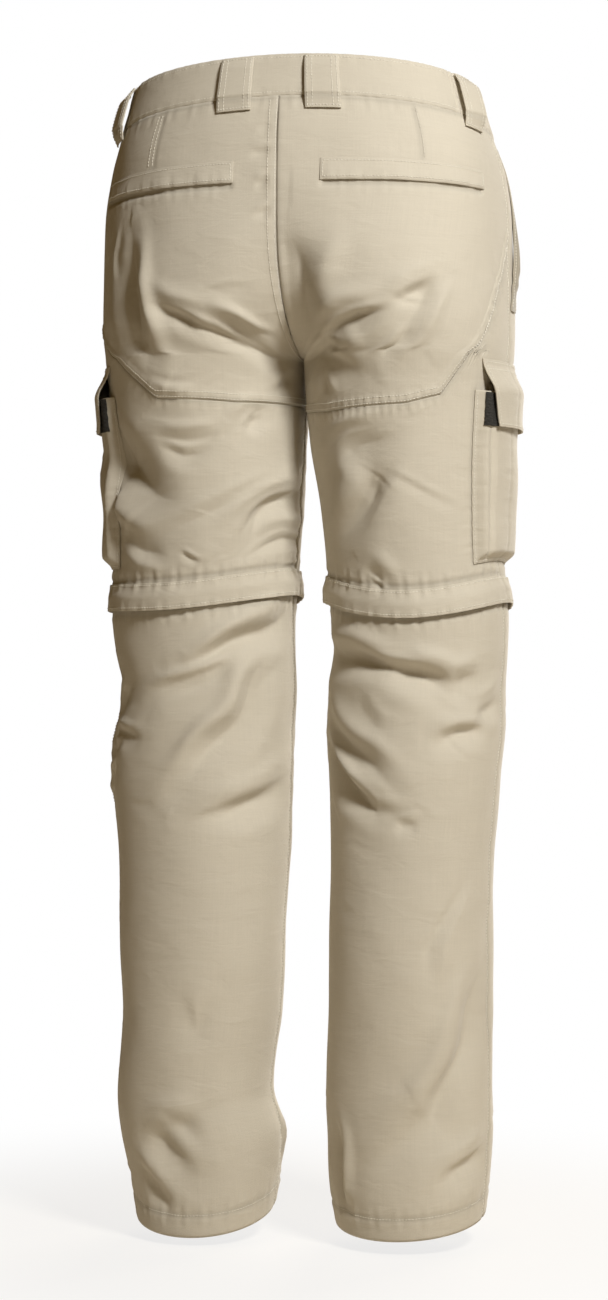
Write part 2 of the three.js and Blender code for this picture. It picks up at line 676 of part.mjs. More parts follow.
function addFly() {
  const place = (a, b) => ({
    turn: FLY_EDGE - FLY_WIDTH * a * Math.sqrt(1 - FLY_CURVE * b ** 3),
    height: lerp(BAND_FOOT - 1, FLY_FOOT, b),
    lift: FLY_LIFT,
  });
  addPiece('fly_placket',
    stripPiece(lattices.left, range(1, 0, FLY_STEPS), range(0, 1, STRIP_STEPS), place), 'cloth');
  const button = new THREE.CylinderGeometry(BUTTON_RADIUS, BUTTON_RADIUS, BUTTON_HEIGHT, BUTTON_SIDES);
  const seat = bandPoint('left', BUTTON_TURN, 0, BAND_LIFT);
  const outward = bandPoint('left', BUTTON_TURN, 0, BAND_LIFT + 1).sub(seat);
  const piece = addPiece('waist_button', button, 'button');
  piece.quaternion.setFromUnitVectors(new THREE.Vector3(0, 1, 0), outward);
  piece.position.copy(seat).addScaledVector(outward, BUTTON_SEAT + BUTTON_HEIGHT / 2);
}

addWaistband();
addFly();
for (const half of HALVES) {
  addBack(half);
  addFront(half);
  addLowerLeg(half);
  addKnee(half);
  addBackWelt(half);
  addCargoPocket(half);
  addFrontPocket(half);
  for (const loop of LOOPS) addBeltLoop(half, loop);
}

export default group;
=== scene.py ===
"""Zip-off cargo trousers, filled out as when worn, built as thin cloth over one form.

A place on the cloth is a turn in degrees and a height in millimetres. Turn 0 is the centre back
seam or the inseam, 90 the back, 171 the side seam, 270 the front and 360 the centre front or the
inseam. Meshes are in metres with +Z up, the front on -Y and the wearer's left leg on +X.
"""

import logging
import math
from collections.abc import Callable
from dataclasses import dataclass
from enum import Enum
from functools import partial

import bpy
import numpy as np
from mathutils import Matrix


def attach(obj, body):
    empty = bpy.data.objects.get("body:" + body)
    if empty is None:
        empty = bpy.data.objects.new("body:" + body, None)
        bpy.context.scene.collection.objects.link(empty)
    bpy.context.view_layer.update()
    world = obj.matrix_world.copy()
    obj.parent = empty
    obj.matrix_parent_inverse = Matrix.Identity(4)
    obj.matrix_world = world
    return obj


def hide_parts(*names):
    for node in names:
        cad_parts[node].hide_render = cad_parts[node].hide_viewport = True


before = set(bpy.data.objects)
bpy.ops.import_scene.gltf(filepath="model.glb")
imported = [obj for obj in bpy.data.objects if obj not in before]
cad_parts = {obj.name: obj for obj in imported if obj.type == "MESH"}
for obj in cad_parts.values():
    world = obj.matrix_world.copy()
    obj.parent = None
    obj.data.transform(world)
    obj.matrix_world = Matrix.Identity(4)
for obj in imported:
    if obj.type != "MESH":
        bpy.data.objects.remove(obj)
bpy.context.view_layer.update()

log = logging.getLogger("trousers")

METRE = 0.001
FULL_TURN = 360.0
CLOTH_PER_TURN = 520.0
MM_PER_DEGREE = CLOTH_PER_TURN / FULL_TURN

# Heights of the cut
BAND_TOP = 19.0
BAND_FOOT = -19.0
WELT_TOP = -67.0
WELT_FOOT = -83.0
FORK = -228.0
FLAP_TOP = -234.0
POUCH_MOUTH = -262.0
FLAP_FOOT = -293.0
POUCH_FOOT = -418.0
KNEE_BAND_TOP = -432.0
THIGH_FOOT = -444.0
KNEE_BAND_FOOT = -457.0
HEM = -1014.0
HEM_DEPTH = 20.0

# Turns of the cut
WELT_INNER = 25.0
WELT_OUTER = 130.0
POUCH_BACK = 141.0
FLAP_BACK = 150.0
PATCH_FRONT = 160.0
SIDE_SEAM = 171.0
FLAP_FRONT = 240.0
POUCH_FRONT = 248.0

# How the two halves grow together above the fork
MERGE_RISE = 200.0
MERGE_POWER = 3.7
CENTRE_GAP = 0.02


class Half(Enum):
    """The two halves of the trousers, with the side of the middle plane each lies on."""

    LEFT = 1
    RIGHT = -1

    @property
    def tag(self) -> str:
        """Return the word that names the half in piece names."""
        return self.name.lower()


class Held(Enum):
    HUNG = "hung"
    STRETCHED = "stretched"


# One row for each level section: height, reach out and in of the left half, reach out and in of
# the right half, depth behind and before the middle, the middle's place, how square it is.
SECTIONS = np.array([
    [38, 159, 0, 159, 0, 110, 103, 0, 0.07],
    [8, 165, 0, 165, 0, 113, 106, 0, 0.07],
    [-22, 174, 0, 174, 0, 118, 109, 0, 0.065],
    [-52, 182, 0, 183, 0, 124, 111, 0, 0.06],
    [-92, 189, 0, 189, 0, 129, 113, 0, 0.05],
    [-142, 190, 0, 191, 0, 131, 113, 1, 0.04],
    [-192, 190, 0, 192, 0, 126, 112, 1, 0.03],
    [-228, 188, 0.2, 192, 0.2, 112, 106, 1, 0.02],
    [-254, 187, 1.4, 189, 1.6, 104, 101, 1, 0.015],
    [-309, 185, 3.2, 185, 4.4, 97, 97, 0, 0.01],
    [-365, 184, 6, 183, 13.7, 92, 93, -2, 0.01],
    [-421, 186, 11, 182, 19.3, 86, 89, -4, 0.01],
    [-458, 187, 13.5, 186, 21.3, 83, 87, -5, 0.01],
    [-495, 184, 14.5, 186, 23.5, 81, 85, -5, 0.01],
    [-532, 177, 14, 184, 20.5, 80, 83, -5, 0.01],
    [-569, 184, 15.5, 184, 18.8, 79, 81, -4, 0.01],
    [-607, 187, 15.5, 180, 21.5, 79, 79, -3, 0.01],
    [-644, 184, 17.5, 177, 22.5, 78, 77, -2, 0.01],
    [-681, 181, 18, 174, 22.5, 78, 76, -1, 0.01],
    [-755, 177, 21.5, 173, 22.1, 77, 74, 1, 0.01],
    [-830, 175, 26, 173, 22.1, 75, 72, 3, 0.01],
    [-904, 180, 33.5, 174, 19.3, 73, 71, 4, 0.01],
    [-941, 176, 23.5, 173, 21.1, 72, 71, 4, 0.01],
    [-979, 166, 26.5, 170, 23.5, 70, 70, 4, 0.01],
    [-1016, 161, 32.5, 167, 29, 68, 70, 4, 0.01],
    [-1037, 160, 34, 166, 29.5, 67, 70, 4, 0.01],
])

# One row for each line of the cut that doesn't run level: half, height, over how much it acts
# above and below, and its raise at the back, at the outer side, at back and front, all round.
TILTS = (
    (Half.LEFT, -17, 1e6, 95, 15, 0, -4, -1),
    (Half.RIGHT, -17, 1e6, 95, 15, 0, -4, -1),
    (Half.LEFT, -444, 110, 110, 5, -8, 5, 0),
    (Half.RIGHT, -444, 110, 110, 4, -0.5, 9.5, -4),
    (Half.LEFT, -1002, 110, 1e6, -18, -1, 0, 0),
    (Half.RIGHT, -1002, 110, 1e6, -13, 3, 0, 0),
)

# The lowest line of the seat as turn and height; it climbs to the side seam.
SEAT_SEAM = {
    Half.LEFT: ((0, -270), (60, -271), (104, -267), (123, -243), (146, -212), (171, -192)),
    Half.RIGHT: ((0, -276), (50, -280), (100, -276), (120, -268), (136, -230), (150, -176),
                 (171, -121)),
}

# The turn at which each half's dart runs down from the band.
DART = {Half.LEFT: 73.0, Half.RIGHT: 79.0}

# One row for each large fold: half, half width (below zero where the steep side of the fold is
# its lower one), depth (a ridge where it is positive), path.
FOLDS = (
    (Half.LEFT, 22, -6, ((88, -178), (55, -208))),
    (Half.LEFT, 20, -6, ((60, -204), (14, -226))),
    (Half.LEFT, 18, 4, ((118, -236), (70, -247))),
    (Half.LEFT, 18, -4, ((38, -270), (60, -304))),
    (Half.LEFT, 18, -4, ((110, -303), (74, -306))),
    (Half.LEFT, 24, -7, ((-4, -332), (66, -402))),
    (Half.LEFT, 18, -4, ((-10, -386), (60, -410))),
    (Half.RIGHT, 22, -6, ((74, -192), (28, -222))),
    (Half.RIGHT, 20, -4, ((100, -164), (72, -188))),
    (Half.RIGHT, 36, -7, ((11, -112), (16, -166), (27, -222))),
    (Half.RIGHT, 18, -6, ((34, -226), (76, -246))),
    (Half.RIGHT, 20, -4, ((102, -288), (52, -326))),
    (Half.RIGHT, 24, -6, ((88, -312), (43, -396))),
    (Half.RIGHT, 16, -4, ((68, -408), (90, -432))),
    (Half.LEFT, 20, -7, ((0, -462), (86, -506))),
    (Half.LEFT, 20, -5, ((44, -510), (112, -544))),
    (Half.LEFT, 24, -7, ((28, -490), (90, -626))),
    (Half.LEFT, 22, -6, ((4, -608), (86, -656))),
    (Half.LEFT, 20, -4, ((163, -560), (163, -612))),
    (Half.LEFT, 20, -1.2, ((94, -808), (76, -830), (56, -808))),
    (Half.LEFT, 20, -5, ((114, -934), (70, -914))),
    (Half.LEFT, 18, -5, ((114, -934), (76, -952))),
    (Half.LEFT, 18, -4, ((130, -964), (98, -980))),
    (Half.RIGHT, 22, -9, ((12, -492), (84, -499))),
    (Half.RIGHT, 22, -9, ((80, -498), (124, -526))),
    (Half.RIGHT, 20, -6, ((116, -524), (146, -514))),
    (Half.RIGHT, 24, -7, ((16, -548), (50, -576), (88, -622))),
    (Half.RIGHT, 18, -6, ((18, -580), (52, -620), (90, -644))),
    (Half.RIGHT, 18, -4, ((108, -575), (158, -567))),
    (Half.RIGHT, 18, -4, ((138, -549), (171, -534))),
    (Half.RIGHT, 34, -7, ((168, -750), (146, -840), (116, -914), (60, -954))),
    (Half.RIGHT, 20, -5, ((170, -942), (112, -968))),
    (Half.RIGHT, 20, -5, ((34, -920), (48, -990))),
    (Half.LEFT, -22, -9, ((94, -112), (98, -176), (106, -240))),
    (Half.LEFT, 22, -5, ((345, -190), (290, -222))),
    (Half.LEFT, 22, -4, ((230, -170), (280, -206))),
    (Half.LEFT, 22, -5, ((350, -300), (280, -345))),
    (Half.LEFT, 22, -6, ((235, -505), (318, -525))),
    (Half.LEFT, 22, -5, ((350, -590), (280, -640))),
    (Half.LEFT, 22, -5, ((240, -930), (300, -955))),
    (Half.RIGHT, 22, -5, ((348, -184), (296, -226))),
    (Half.RIGHT, 22, -4, ((226, -160), (272, -202))),
    (Half.RIGHT, 22, -5, ((345, -320), (285, -372))),
    (Half.RIGHT, 22, -6, ((230, -520), (315, -500))),
    (Half.RIGHT, 22, -5, ((352, -615), (290, -650))),
    (Half.RIGHT, 22, -5, ((238, -905), (305, -940))),
)

# One row for each narrower crease on top of the folds, with the same columns.
CREASES = (
    # seat and thigh, left
    (Half.LEFT, 8.1, -4.8, ((88, -186), (72, -196), (63, -208), (55, -216), (40, -226), (18, -232))),
    (Half.LEFT, 6.2, -2.7, ((50, -200), (22, -208), (5, -206))),
    (Half.LEFT, 6.2, 2.4, ((112, -244), (92, -250), (73, -254))),
    (Half.LEFT, 5.4, -2.7, ((12, -234), (26, -246), (40, -260))),
    (Half.LEFT, 6.2, -3, ((42, -284), (58, -308))),
    (Half.LEFT, 6.2, -3, ((107, -312), (92, -316), (78, -314))),
    (Half.LEFT, -21, -16, ((190, -272), (136, -337), (92, -361))),
    (Half.LEFT, -12, -4, ((136, -388), (118, -402), (98, -408))),
    (Half.LEFT, 13, -2.6, ((112, -398), (66, -368), (10, -334))),
    (Half.LEFT, 3.6, -2.4, ((92, -406), (81, -416))),
    (Half.LEFT, 9.9, -4.5, ((-2, -342), (28, -370), (63, -408))),
    (Half.LEFT, 6.2, -3, ((-10, -396), (24, -404), (57, -416))),
    (Half.LEFT, 3.6, -2.4, ((3, -424), (30, -440))),
    (Half.LEFT, 3.6, -1.7, ((2, -42), (14, -45))),
    (Half.LEFT, 3.6, -1.8, ((2, -60), (17, -62))),
    (Half.LEFT, 3.6, -1.7, ((2, -80), (13, -84))),
    (Half.LEFT, 3.6, -1.8, ((2, -98), (16, -103))),
    (Half.LEFT, 5.4, -1.5, ((104, -100), (112, -128), (110, -160))),
    # seat and thigh, right
    (Half.RIGHT, 7.5, -5.6, ((80, -190), (52, -212), (24, -230))),
    (Half.RIGHT, 8.1, -3.2, ((98, -170), (75, -188))),
    (Half.RIGHT, -13, -5, ((98, -158), (92, -194), (84, -226))),
    (Half.RIGHT, 8, -5.6, ((14, -228), (38, -231), (64, -243))),
    (Half.RIGHT, 5.4, -2.6, ((92, -206), (86, -232))),
    (Half.RIGHT, 5.4, -2.4, ((47, -244), (52, -270))),
    (Half.RIGHT, 7.2, -3.3, ((99, -300), (78, -314), (55, -332))),
    (Half.RIGHT, 15, -3.9, ((92, -312), (70, -360), (38, -412))),
    (Half.RIGHT, 3.6, -2.4, ((71, -420), (88, -436))),
    (Half.RIGHT, 10, 1.8, ((108, -318), (84, -352), (64, -398))),
    # lower leg, left
    (Half.LEFT, 11, -5.4, ((4, -464), (42, -482), (84, -510), (100, -514))),
    (Half.LEFT, 9, -4.2, ((118, -578), (137, -577), (160, -571))),
    (Half.LEFT, 8, -4.4, ((45, -506), (83, -519), (118, -537))),
    (Half.LEFT, 16, -3, ((4, -480), (34, -523), (74, -588), (108, -642))),
    (Half.LEFT, 11, -4.5, ((7, -618), (44, -634), (83, -662))),
    (Half.LEFT, 10, -4.5, ((134, -522), (150, -536), (168, -560))),
    (Half.LEFT, 7, -3.2, ((138, -588), (171, -594))),
    (Half.LEFT, 8, -3.4, ((146, -602), (160, -620), (166, -640))),
    (Half.LEFT, 6, -1.6, ((154, -630), (171, -628))),
    (Half.LEFT, 12, -1.4, ((94, -820), (76, -838), (56, -822))),
    (Half.LEFT, 12, -2.6, ((120, -948), (94, -930), (64, -918))),
    (Half.LEFT, 12, -2.6, ((120, -938), (70, -962))),
    (Half.LEFT, 9.9, -3.4, ((128, -972), (103, -984))),
    (Half.LEFT, 9.9, -3.4, ((1, -924), (-12, -960), (-11, -990))),
    # lower leg, right
    (Half.RIGHT, 12.2, -6.2, ((14, -500), (50, -503), (82, -506), (121, -532), (143, -524))),
    (Half.RIGHT, 10, -1.6, ((62, -540), (79, -572))),
    (Half.RIGHT, 9.5, -5.6, ((14, -562), (30, -590), (52, -620), (76, -644), (104, -642))),
    (Half.RIGHT, 8.5, -2.8, ((87, -656), (107, -650))),
    (Half.RIGHT, 9.9, -4.1, ((109, -584), (130, -572), (158, -576))),
    (Half.RIGHT, 8.5, -3.8, ((138, -557), (171, -542))),
    (Half.RIGHT, 16, -3.8, ((168, -780), (150, -838), (138, -872), (116, -922), (64, -958))),
    (Half.RIGHT, 9.9, -4.5, ((169, -950), (142, -962), (114, -974))),
    (Half.RIGHT, 9.9, -4.1, ((36, -930), (47, -990), (68, -984))),
    (Half.RIGHT, 11, 2.8, ((152, -700), (128, -760), (118, -800))),
    # front
    (Half.LEFT, 6.5, -3.9, ((350, -190), (322, -204), (290, -224))),
    (Half.LEFT, 5.8, -3.3, ((350, -212), (318, -238), (300, -252))),
    (Half.LEFT, 5.8, -3, ((228, -170), (255, -186), (282, -208))),
    (Half.LEFT, 6.5, -3.6, ((352, -304), (316, -322), (280, -348))),
    (Half.LEFT, 5.8, -3.9, ((232, -506), (270, -514), (318, -526))),
    (Half.LEFT, 5.8, -3.3, ((352, -588), (316, -608), (282, -642))),
    (Half.LEFT, 5.8, -3.3, ((238, -932), (268, -938), (302, -957))),
    (Half.RIGHT, 6.5, -3.9, ((352, -184), (326, -202), (294, -228))),
    (Half.RIGHT, 5.8, -3, ((224, -160), (250, -178), (274, -204))),
    (Half.RIGHT, 6.5, -3.6, ((348, -322), (314, -344), (284, -374))),
    (Half.RIGHT, 5.8, -3.9, ((228, -522), (272, -510), (317, -500))),
    (Half.RIGHT, 5.8, -3.3, ((354, -614), (322, -628), (288, -652))),
    (Half.RIGHT, 5.8, -3.3, ((236, -904), (270, -918), (307, -942))),
)


# Where small creases gather: share of them, lowest and highest height.
CREASE_ZONES = ((0.27, -290, -150), (0.2, -430, -300), (0.28, -650, -468), (0.17, -1000, -880),
                (0.08, -880, -650))


def smooth(value: np.ndarray, low: float, high: float) -> np.ndarray:
    """Return the smooth step of the value from 0 at low to 1 at high."""
    part = np.clip((np.asarray(value, float) - low) / (high - low), 0.0, 1.0)
    return part * part * (3.0 - 2.0 * part)


def unit(vectors: np.ndarray) -> np.ndarray:
    """Return the vectors along the last axis at length one."""
    return vectors / np.maximum(np.linalg.norm(vectors, axis=-1, keepdims=True), 1e-9)


@dataclass(frozen=True)
class Path:
    """A line on the flattened cloth through places given as turn and height."""

    places: tuple[tuple[float, float], ...]

    def measure(self, turn: np.ndarray, height: np.ndarray) -> tuple[np.ndarray, ...]:
        """Measure places against the line, in millimetres of flattened cloth.

        Args:
            turn: turns of the places.
            height: heights of the places.

        Returns:
            Distance signed by side, length along the line, and the share of its length.
        """
        nearest = np.full(turn.shape, np.inf)
        along = np.zeros(turn.shape)
        side = np.ones(turn.shape)
        start = 0.0
        for (turn_a, height_a), (turn_b, height_b) in zip(self.places[:-1], self.places[1:]):
            step = np.array([(turn_b - turn_a) * MM_PER_DEGREE, height_b - height_a])
            length = float(np.hypot(*step))
            across = (turn - turn_a) * MM_PER_DEGREE
            up = height - height_a
            part = np.clip((across * step[0] + up * step[1]) / length**2, 0.0, 1.0)
            distance = np.hypot(across - part * step[0], up - part * step[1])
            closer = distance < nearest
            nearest = np.where(closer, distance, nearest)
            along = np.where(closer, start + part * length, along)
            side = np.where(closer, np.where(step[0] * up - step[1] * across < 0, -1.0, 1.0), side)
            start += length
        return nearest * side, along, along / start

    def near(self, turn: np.ndarray, height: np.ndarray, reach: float) -> np.ndarray:
        """Find the places within reach of the line's bounding box.

        Args:
            turn: turns of the places.
            height: heights of the places.
            reach: how far off a place may lie in millimetres.

        Returns:
            True at each such place.
        """
        turns, heights = np.array(self.places, float).T
        margin = reach / MM_PER_DEGREE
        return ((turn > turns.min() - margin) & (turn < turns.max() + margin)
                & (height > heights.min() - reach) & (height < heights.max() + reach))


def scattered_creases(half: Half, count: int = 46) -> list[tuple]:
    """Draw small creases with a fixed seed, most of them near fork, knee and hem.

    Args:
        half: left or right half.
        count: how many to draw.

    Returns:
        Rows like those of the crease table.
    """
    draw = np.random.default_rng(31 + half.value)
    shares = [zone[0] for zone in CREASE_ZONES]
    rows = []
    for zone in draw.choice(len(CREASE_ZONES), count, p=shares):
        turn, height = draw.uniform(6, 354), draw.uniform(*CREASE_ZONES[zone][1:])
        across, slope = draw.uniform(8, 24), draw.normal(-0.5, 0.55)
        drop, bend = 2 * across * MM_PER_DEGREE * slope, draw.uniform(-6, 6)
        rows.append((half, draw.uniform(3.2, 5.5), -draw.uniform(0.3, 1.0),
                     ((turn - across, height - drop / 2), (turn, height + bend),
                      (turn + across, height + drop / 2))))
    return rows


class WaveField:
    """A soft uneven field: a seeded sum of sine waves that closes round the leg."""

    def __init__(self, seed: int, count: int, shortest: float, longest: float) -> None:
        """Draw the waves.

        Args:
            seed: seed of the random draw.
            count: number of waves.
            shortest: shortest wavelength in millimetres.
            longest: longest wavelength in millimetres.
        """
        draw = np.random.default_rng(seed)
        lengths = draw.uniform(shortest, longest, count)
        angles = draw.uniform(0, math.pi, count)
        self.laps = np.round(CLOTH_PER_TURN * np.cos(angles) / lengths)
        self.rise = np.sin(angles) / lengths
        self.phase = draw.uniform(0, 2 * math.pi, count)
        self.share = lengths / lengths.sum()

    def at(self, turn: np.ndarray, height: np.ndarray) -> np.ndarray:
        """Add up the waves at places.

        Args:
            turn: turns of the places.
            height: heights of the places.

        Returns:
            The field, mostly between -1 and 1.
        """
        total = np.zeros(np.shape(turn))
        for laps, rise, phase, share in zip(self.laps, self.rise, self.phase, self.share):
            angle = 2 * math.pi * (laps * turn / FULL_TURN + rise * height) + phase
            total = total + share * np.sin(angle)
        return total * math.sqrt(len(self.laps))


@dataclass(frozen=True)
class Seam:
    """A sewn line: a groove, cloth felled over to one side of it, and small puckers."""

    path: Path
    groove: float = 1.2
    groove_width: float = 2.2
    fell: float = 0.0
    fell_width: float = 8.0
    pucker: float = 0.45
    pucker_pitch: float = 11.0
    phase: float = 0.0

    def relief(self, turn: np.ndarray, height: np.ndarray) -> tuple[np.ndarray, np.ndarray]:
        """Compute how the seam moves the cloth.

        The groove is a bell curve across the seam. The felled cloth is a plateau on the side
        that the fell's sign names. The puckers are uneven waves along the seam that die out
        away from it.

        Args:
            turn: turns of the places.
            height: heights of the places.

        Returns:
            The outward move in millimetres and how near the seam is, from 0 to 1.
        """
        signed, along, _ = self.path.measure(turn, height)
        distance = np.abs(signed)
        move = -self.groove * np.exp(-((distance / self.groove_width) ** 2))
        inside = signed * (1.0 if self.fell >= 0 else -1.0)
        plateau = smooth(inside, 0.5, 2.5) * (1 - smooth(inside, self.fell_width - 1,
                                                         self.fell_width + 1))
        move += abs(self.fell) * plateau
        beat = 2 * math.pi * along / self.pucker_pitch + self.phase
        wave = (0.55 * np.sin(beat) + 0.3 * np.sin(1.61 * beat + 1.3)
                + 0.25 * np.sin(0.37 * beat + 2.1))
        move += self.pucker * wave * np.exp(-(((distance - 3.5) / 6.0) ** 2))
        return move, np.exp(-((distance / 2.6) ** 2))


class TrouserForm:
    """The smooth filled-out form of the two halves, the same as that of the solids."""

    def sections(self, height: np.ndarray) -> list[np.ndarray]:
        """Read the section table at any heights.

        The curve through the rows is cubic, with slopes taken between each row's neighbours.

        Args:
            height: heights in millimetres.

        Returns:
            One array for each column after the height.
        """
        levels = SECTIONS[:, 0]
        last = len(levels) - 1
        level = np.clip(height, levels[-1], levels[0])
        upper = np.clip(np.searchsorted(-levels, -level, side="left") - 1, 0, last - 1)
        before, lower = np.maximum(upper - 1, 0), upper + 1
        after = np.minimum(upper + 2, last)
        span = levels[upper] - levels[lower]
        part = (levels[upper] - level) / span
        values = []
        for column in SECTIONS[:, 1:].T:
            start = (column[lower] - column[before]) / np.maximum(
                levels[before] - levels[lower], 1) * span
            end = (column[after] - column[upper]) / np.maximum(
                levels[upper] - levels[after], 1) * span
            values.append((2 * part**3 - 3 * part**2 + 1) * column[upper]
                          + (part**3 - 2 * part**2 + part) * start
                          + (3 * part**2 - 2 * part**3) * column[lower]
                          + (part**3 - part**2) * end)
        return values

    def tilt(self, half: Half, height: np.ndarray, angle: np.ndarray) -> np.ndarray:
        """Compute how far the cut's tilted lines raise places.

        Args:
            half: left or right half.
            height: heights of the places.
            angle: angles of the places round the section.

        Returns:
            The raise in millimetres.
        """
        total = np.zeros(np.shape(height))
        for owner, level, above, below, back, outer, bow, all_round in TILTS:
            if owner is not half:
                continue
            away = height - level
            share = 1 - smooth(np.abs(away) / np.where(away > 0, above, below), 0, 1)
            total = total + share * (back * np.sin(angle) + outer * np.cos(angle)
                                     + bow * np.cos(2 * angle) + all_round)
        return total

    def point(self, half: Half, turn: np.ndarray, height: np.ndarray) -> np.ndarray:
        """Compute points of the form.

        Each half is part of an ellipse. Above the fork the ellipse is cut open at the middle
        plane, wider and wider, until the two halves make one oval at the waist.

        Args:
            half: left or right half.
            turn: turns of the places.
            height: heights of the places.

        Returns:
            Points in millimetres, with x, y and z along the last axis.
        """
        outer_l, inner_l, outer_r, inner_r, back, front, middle, square = self.sections(height)
        outer, inner = (outer_l, inner_l) if half is Half.LEFT else (outer_r, inner_r)
        rise = height - FORK
        merge = np.where(rise > 0, np.clip(1 - rise / MERGE_RISE, 0, 1) ** MERGE_POWER, 1.0)
        reach = np.sqrt(merge)
        half_width = np.where(rise > 0, outer / (1 + reach), (outer - inner) / 2)
        widest = math.pi - np.arccos(np.minimum(reach, 1))
        angle = widest * (1 - 2 * turn / FULL_TURN)
        corner = 1 + np.where(np.abs(angle) < math.pi / 2, square * np.sin(2 * angle) ** 2, 0)
        reach_out = outer - half_width + half_width * np.cos(angle) * corner
        return np.stack([
            half.value * np.maximum(reach_out, 0),
            middle + np.where(angle > 0, back, front) * np.sin(angle) * corner,
            height + self.tilt(half, height, angle),
        ], axis=-1)

    def outward(self, half: Half, turn: np.ndarray, height: np.ndarray) -> np.ndarray:
        """Compute the form's outward directions from small steps along and up the cloth.

        Args:
            half: left or right half.
            turn: turns of the places.
            height: heights of the places.

        Returns:
            Directions of length one.
        """
        step = 0.6
        along = (self.point(half, np.minimum(turn + step, FULL_TURN), height)
                 - self.point(half, np.maximum(turn - step, 0.0), height))
        up = self.point(half, turn, height + 1.5) - self.point(half, turn, height - 1.5)
        return unit(-half.value * np.cross(along, up))


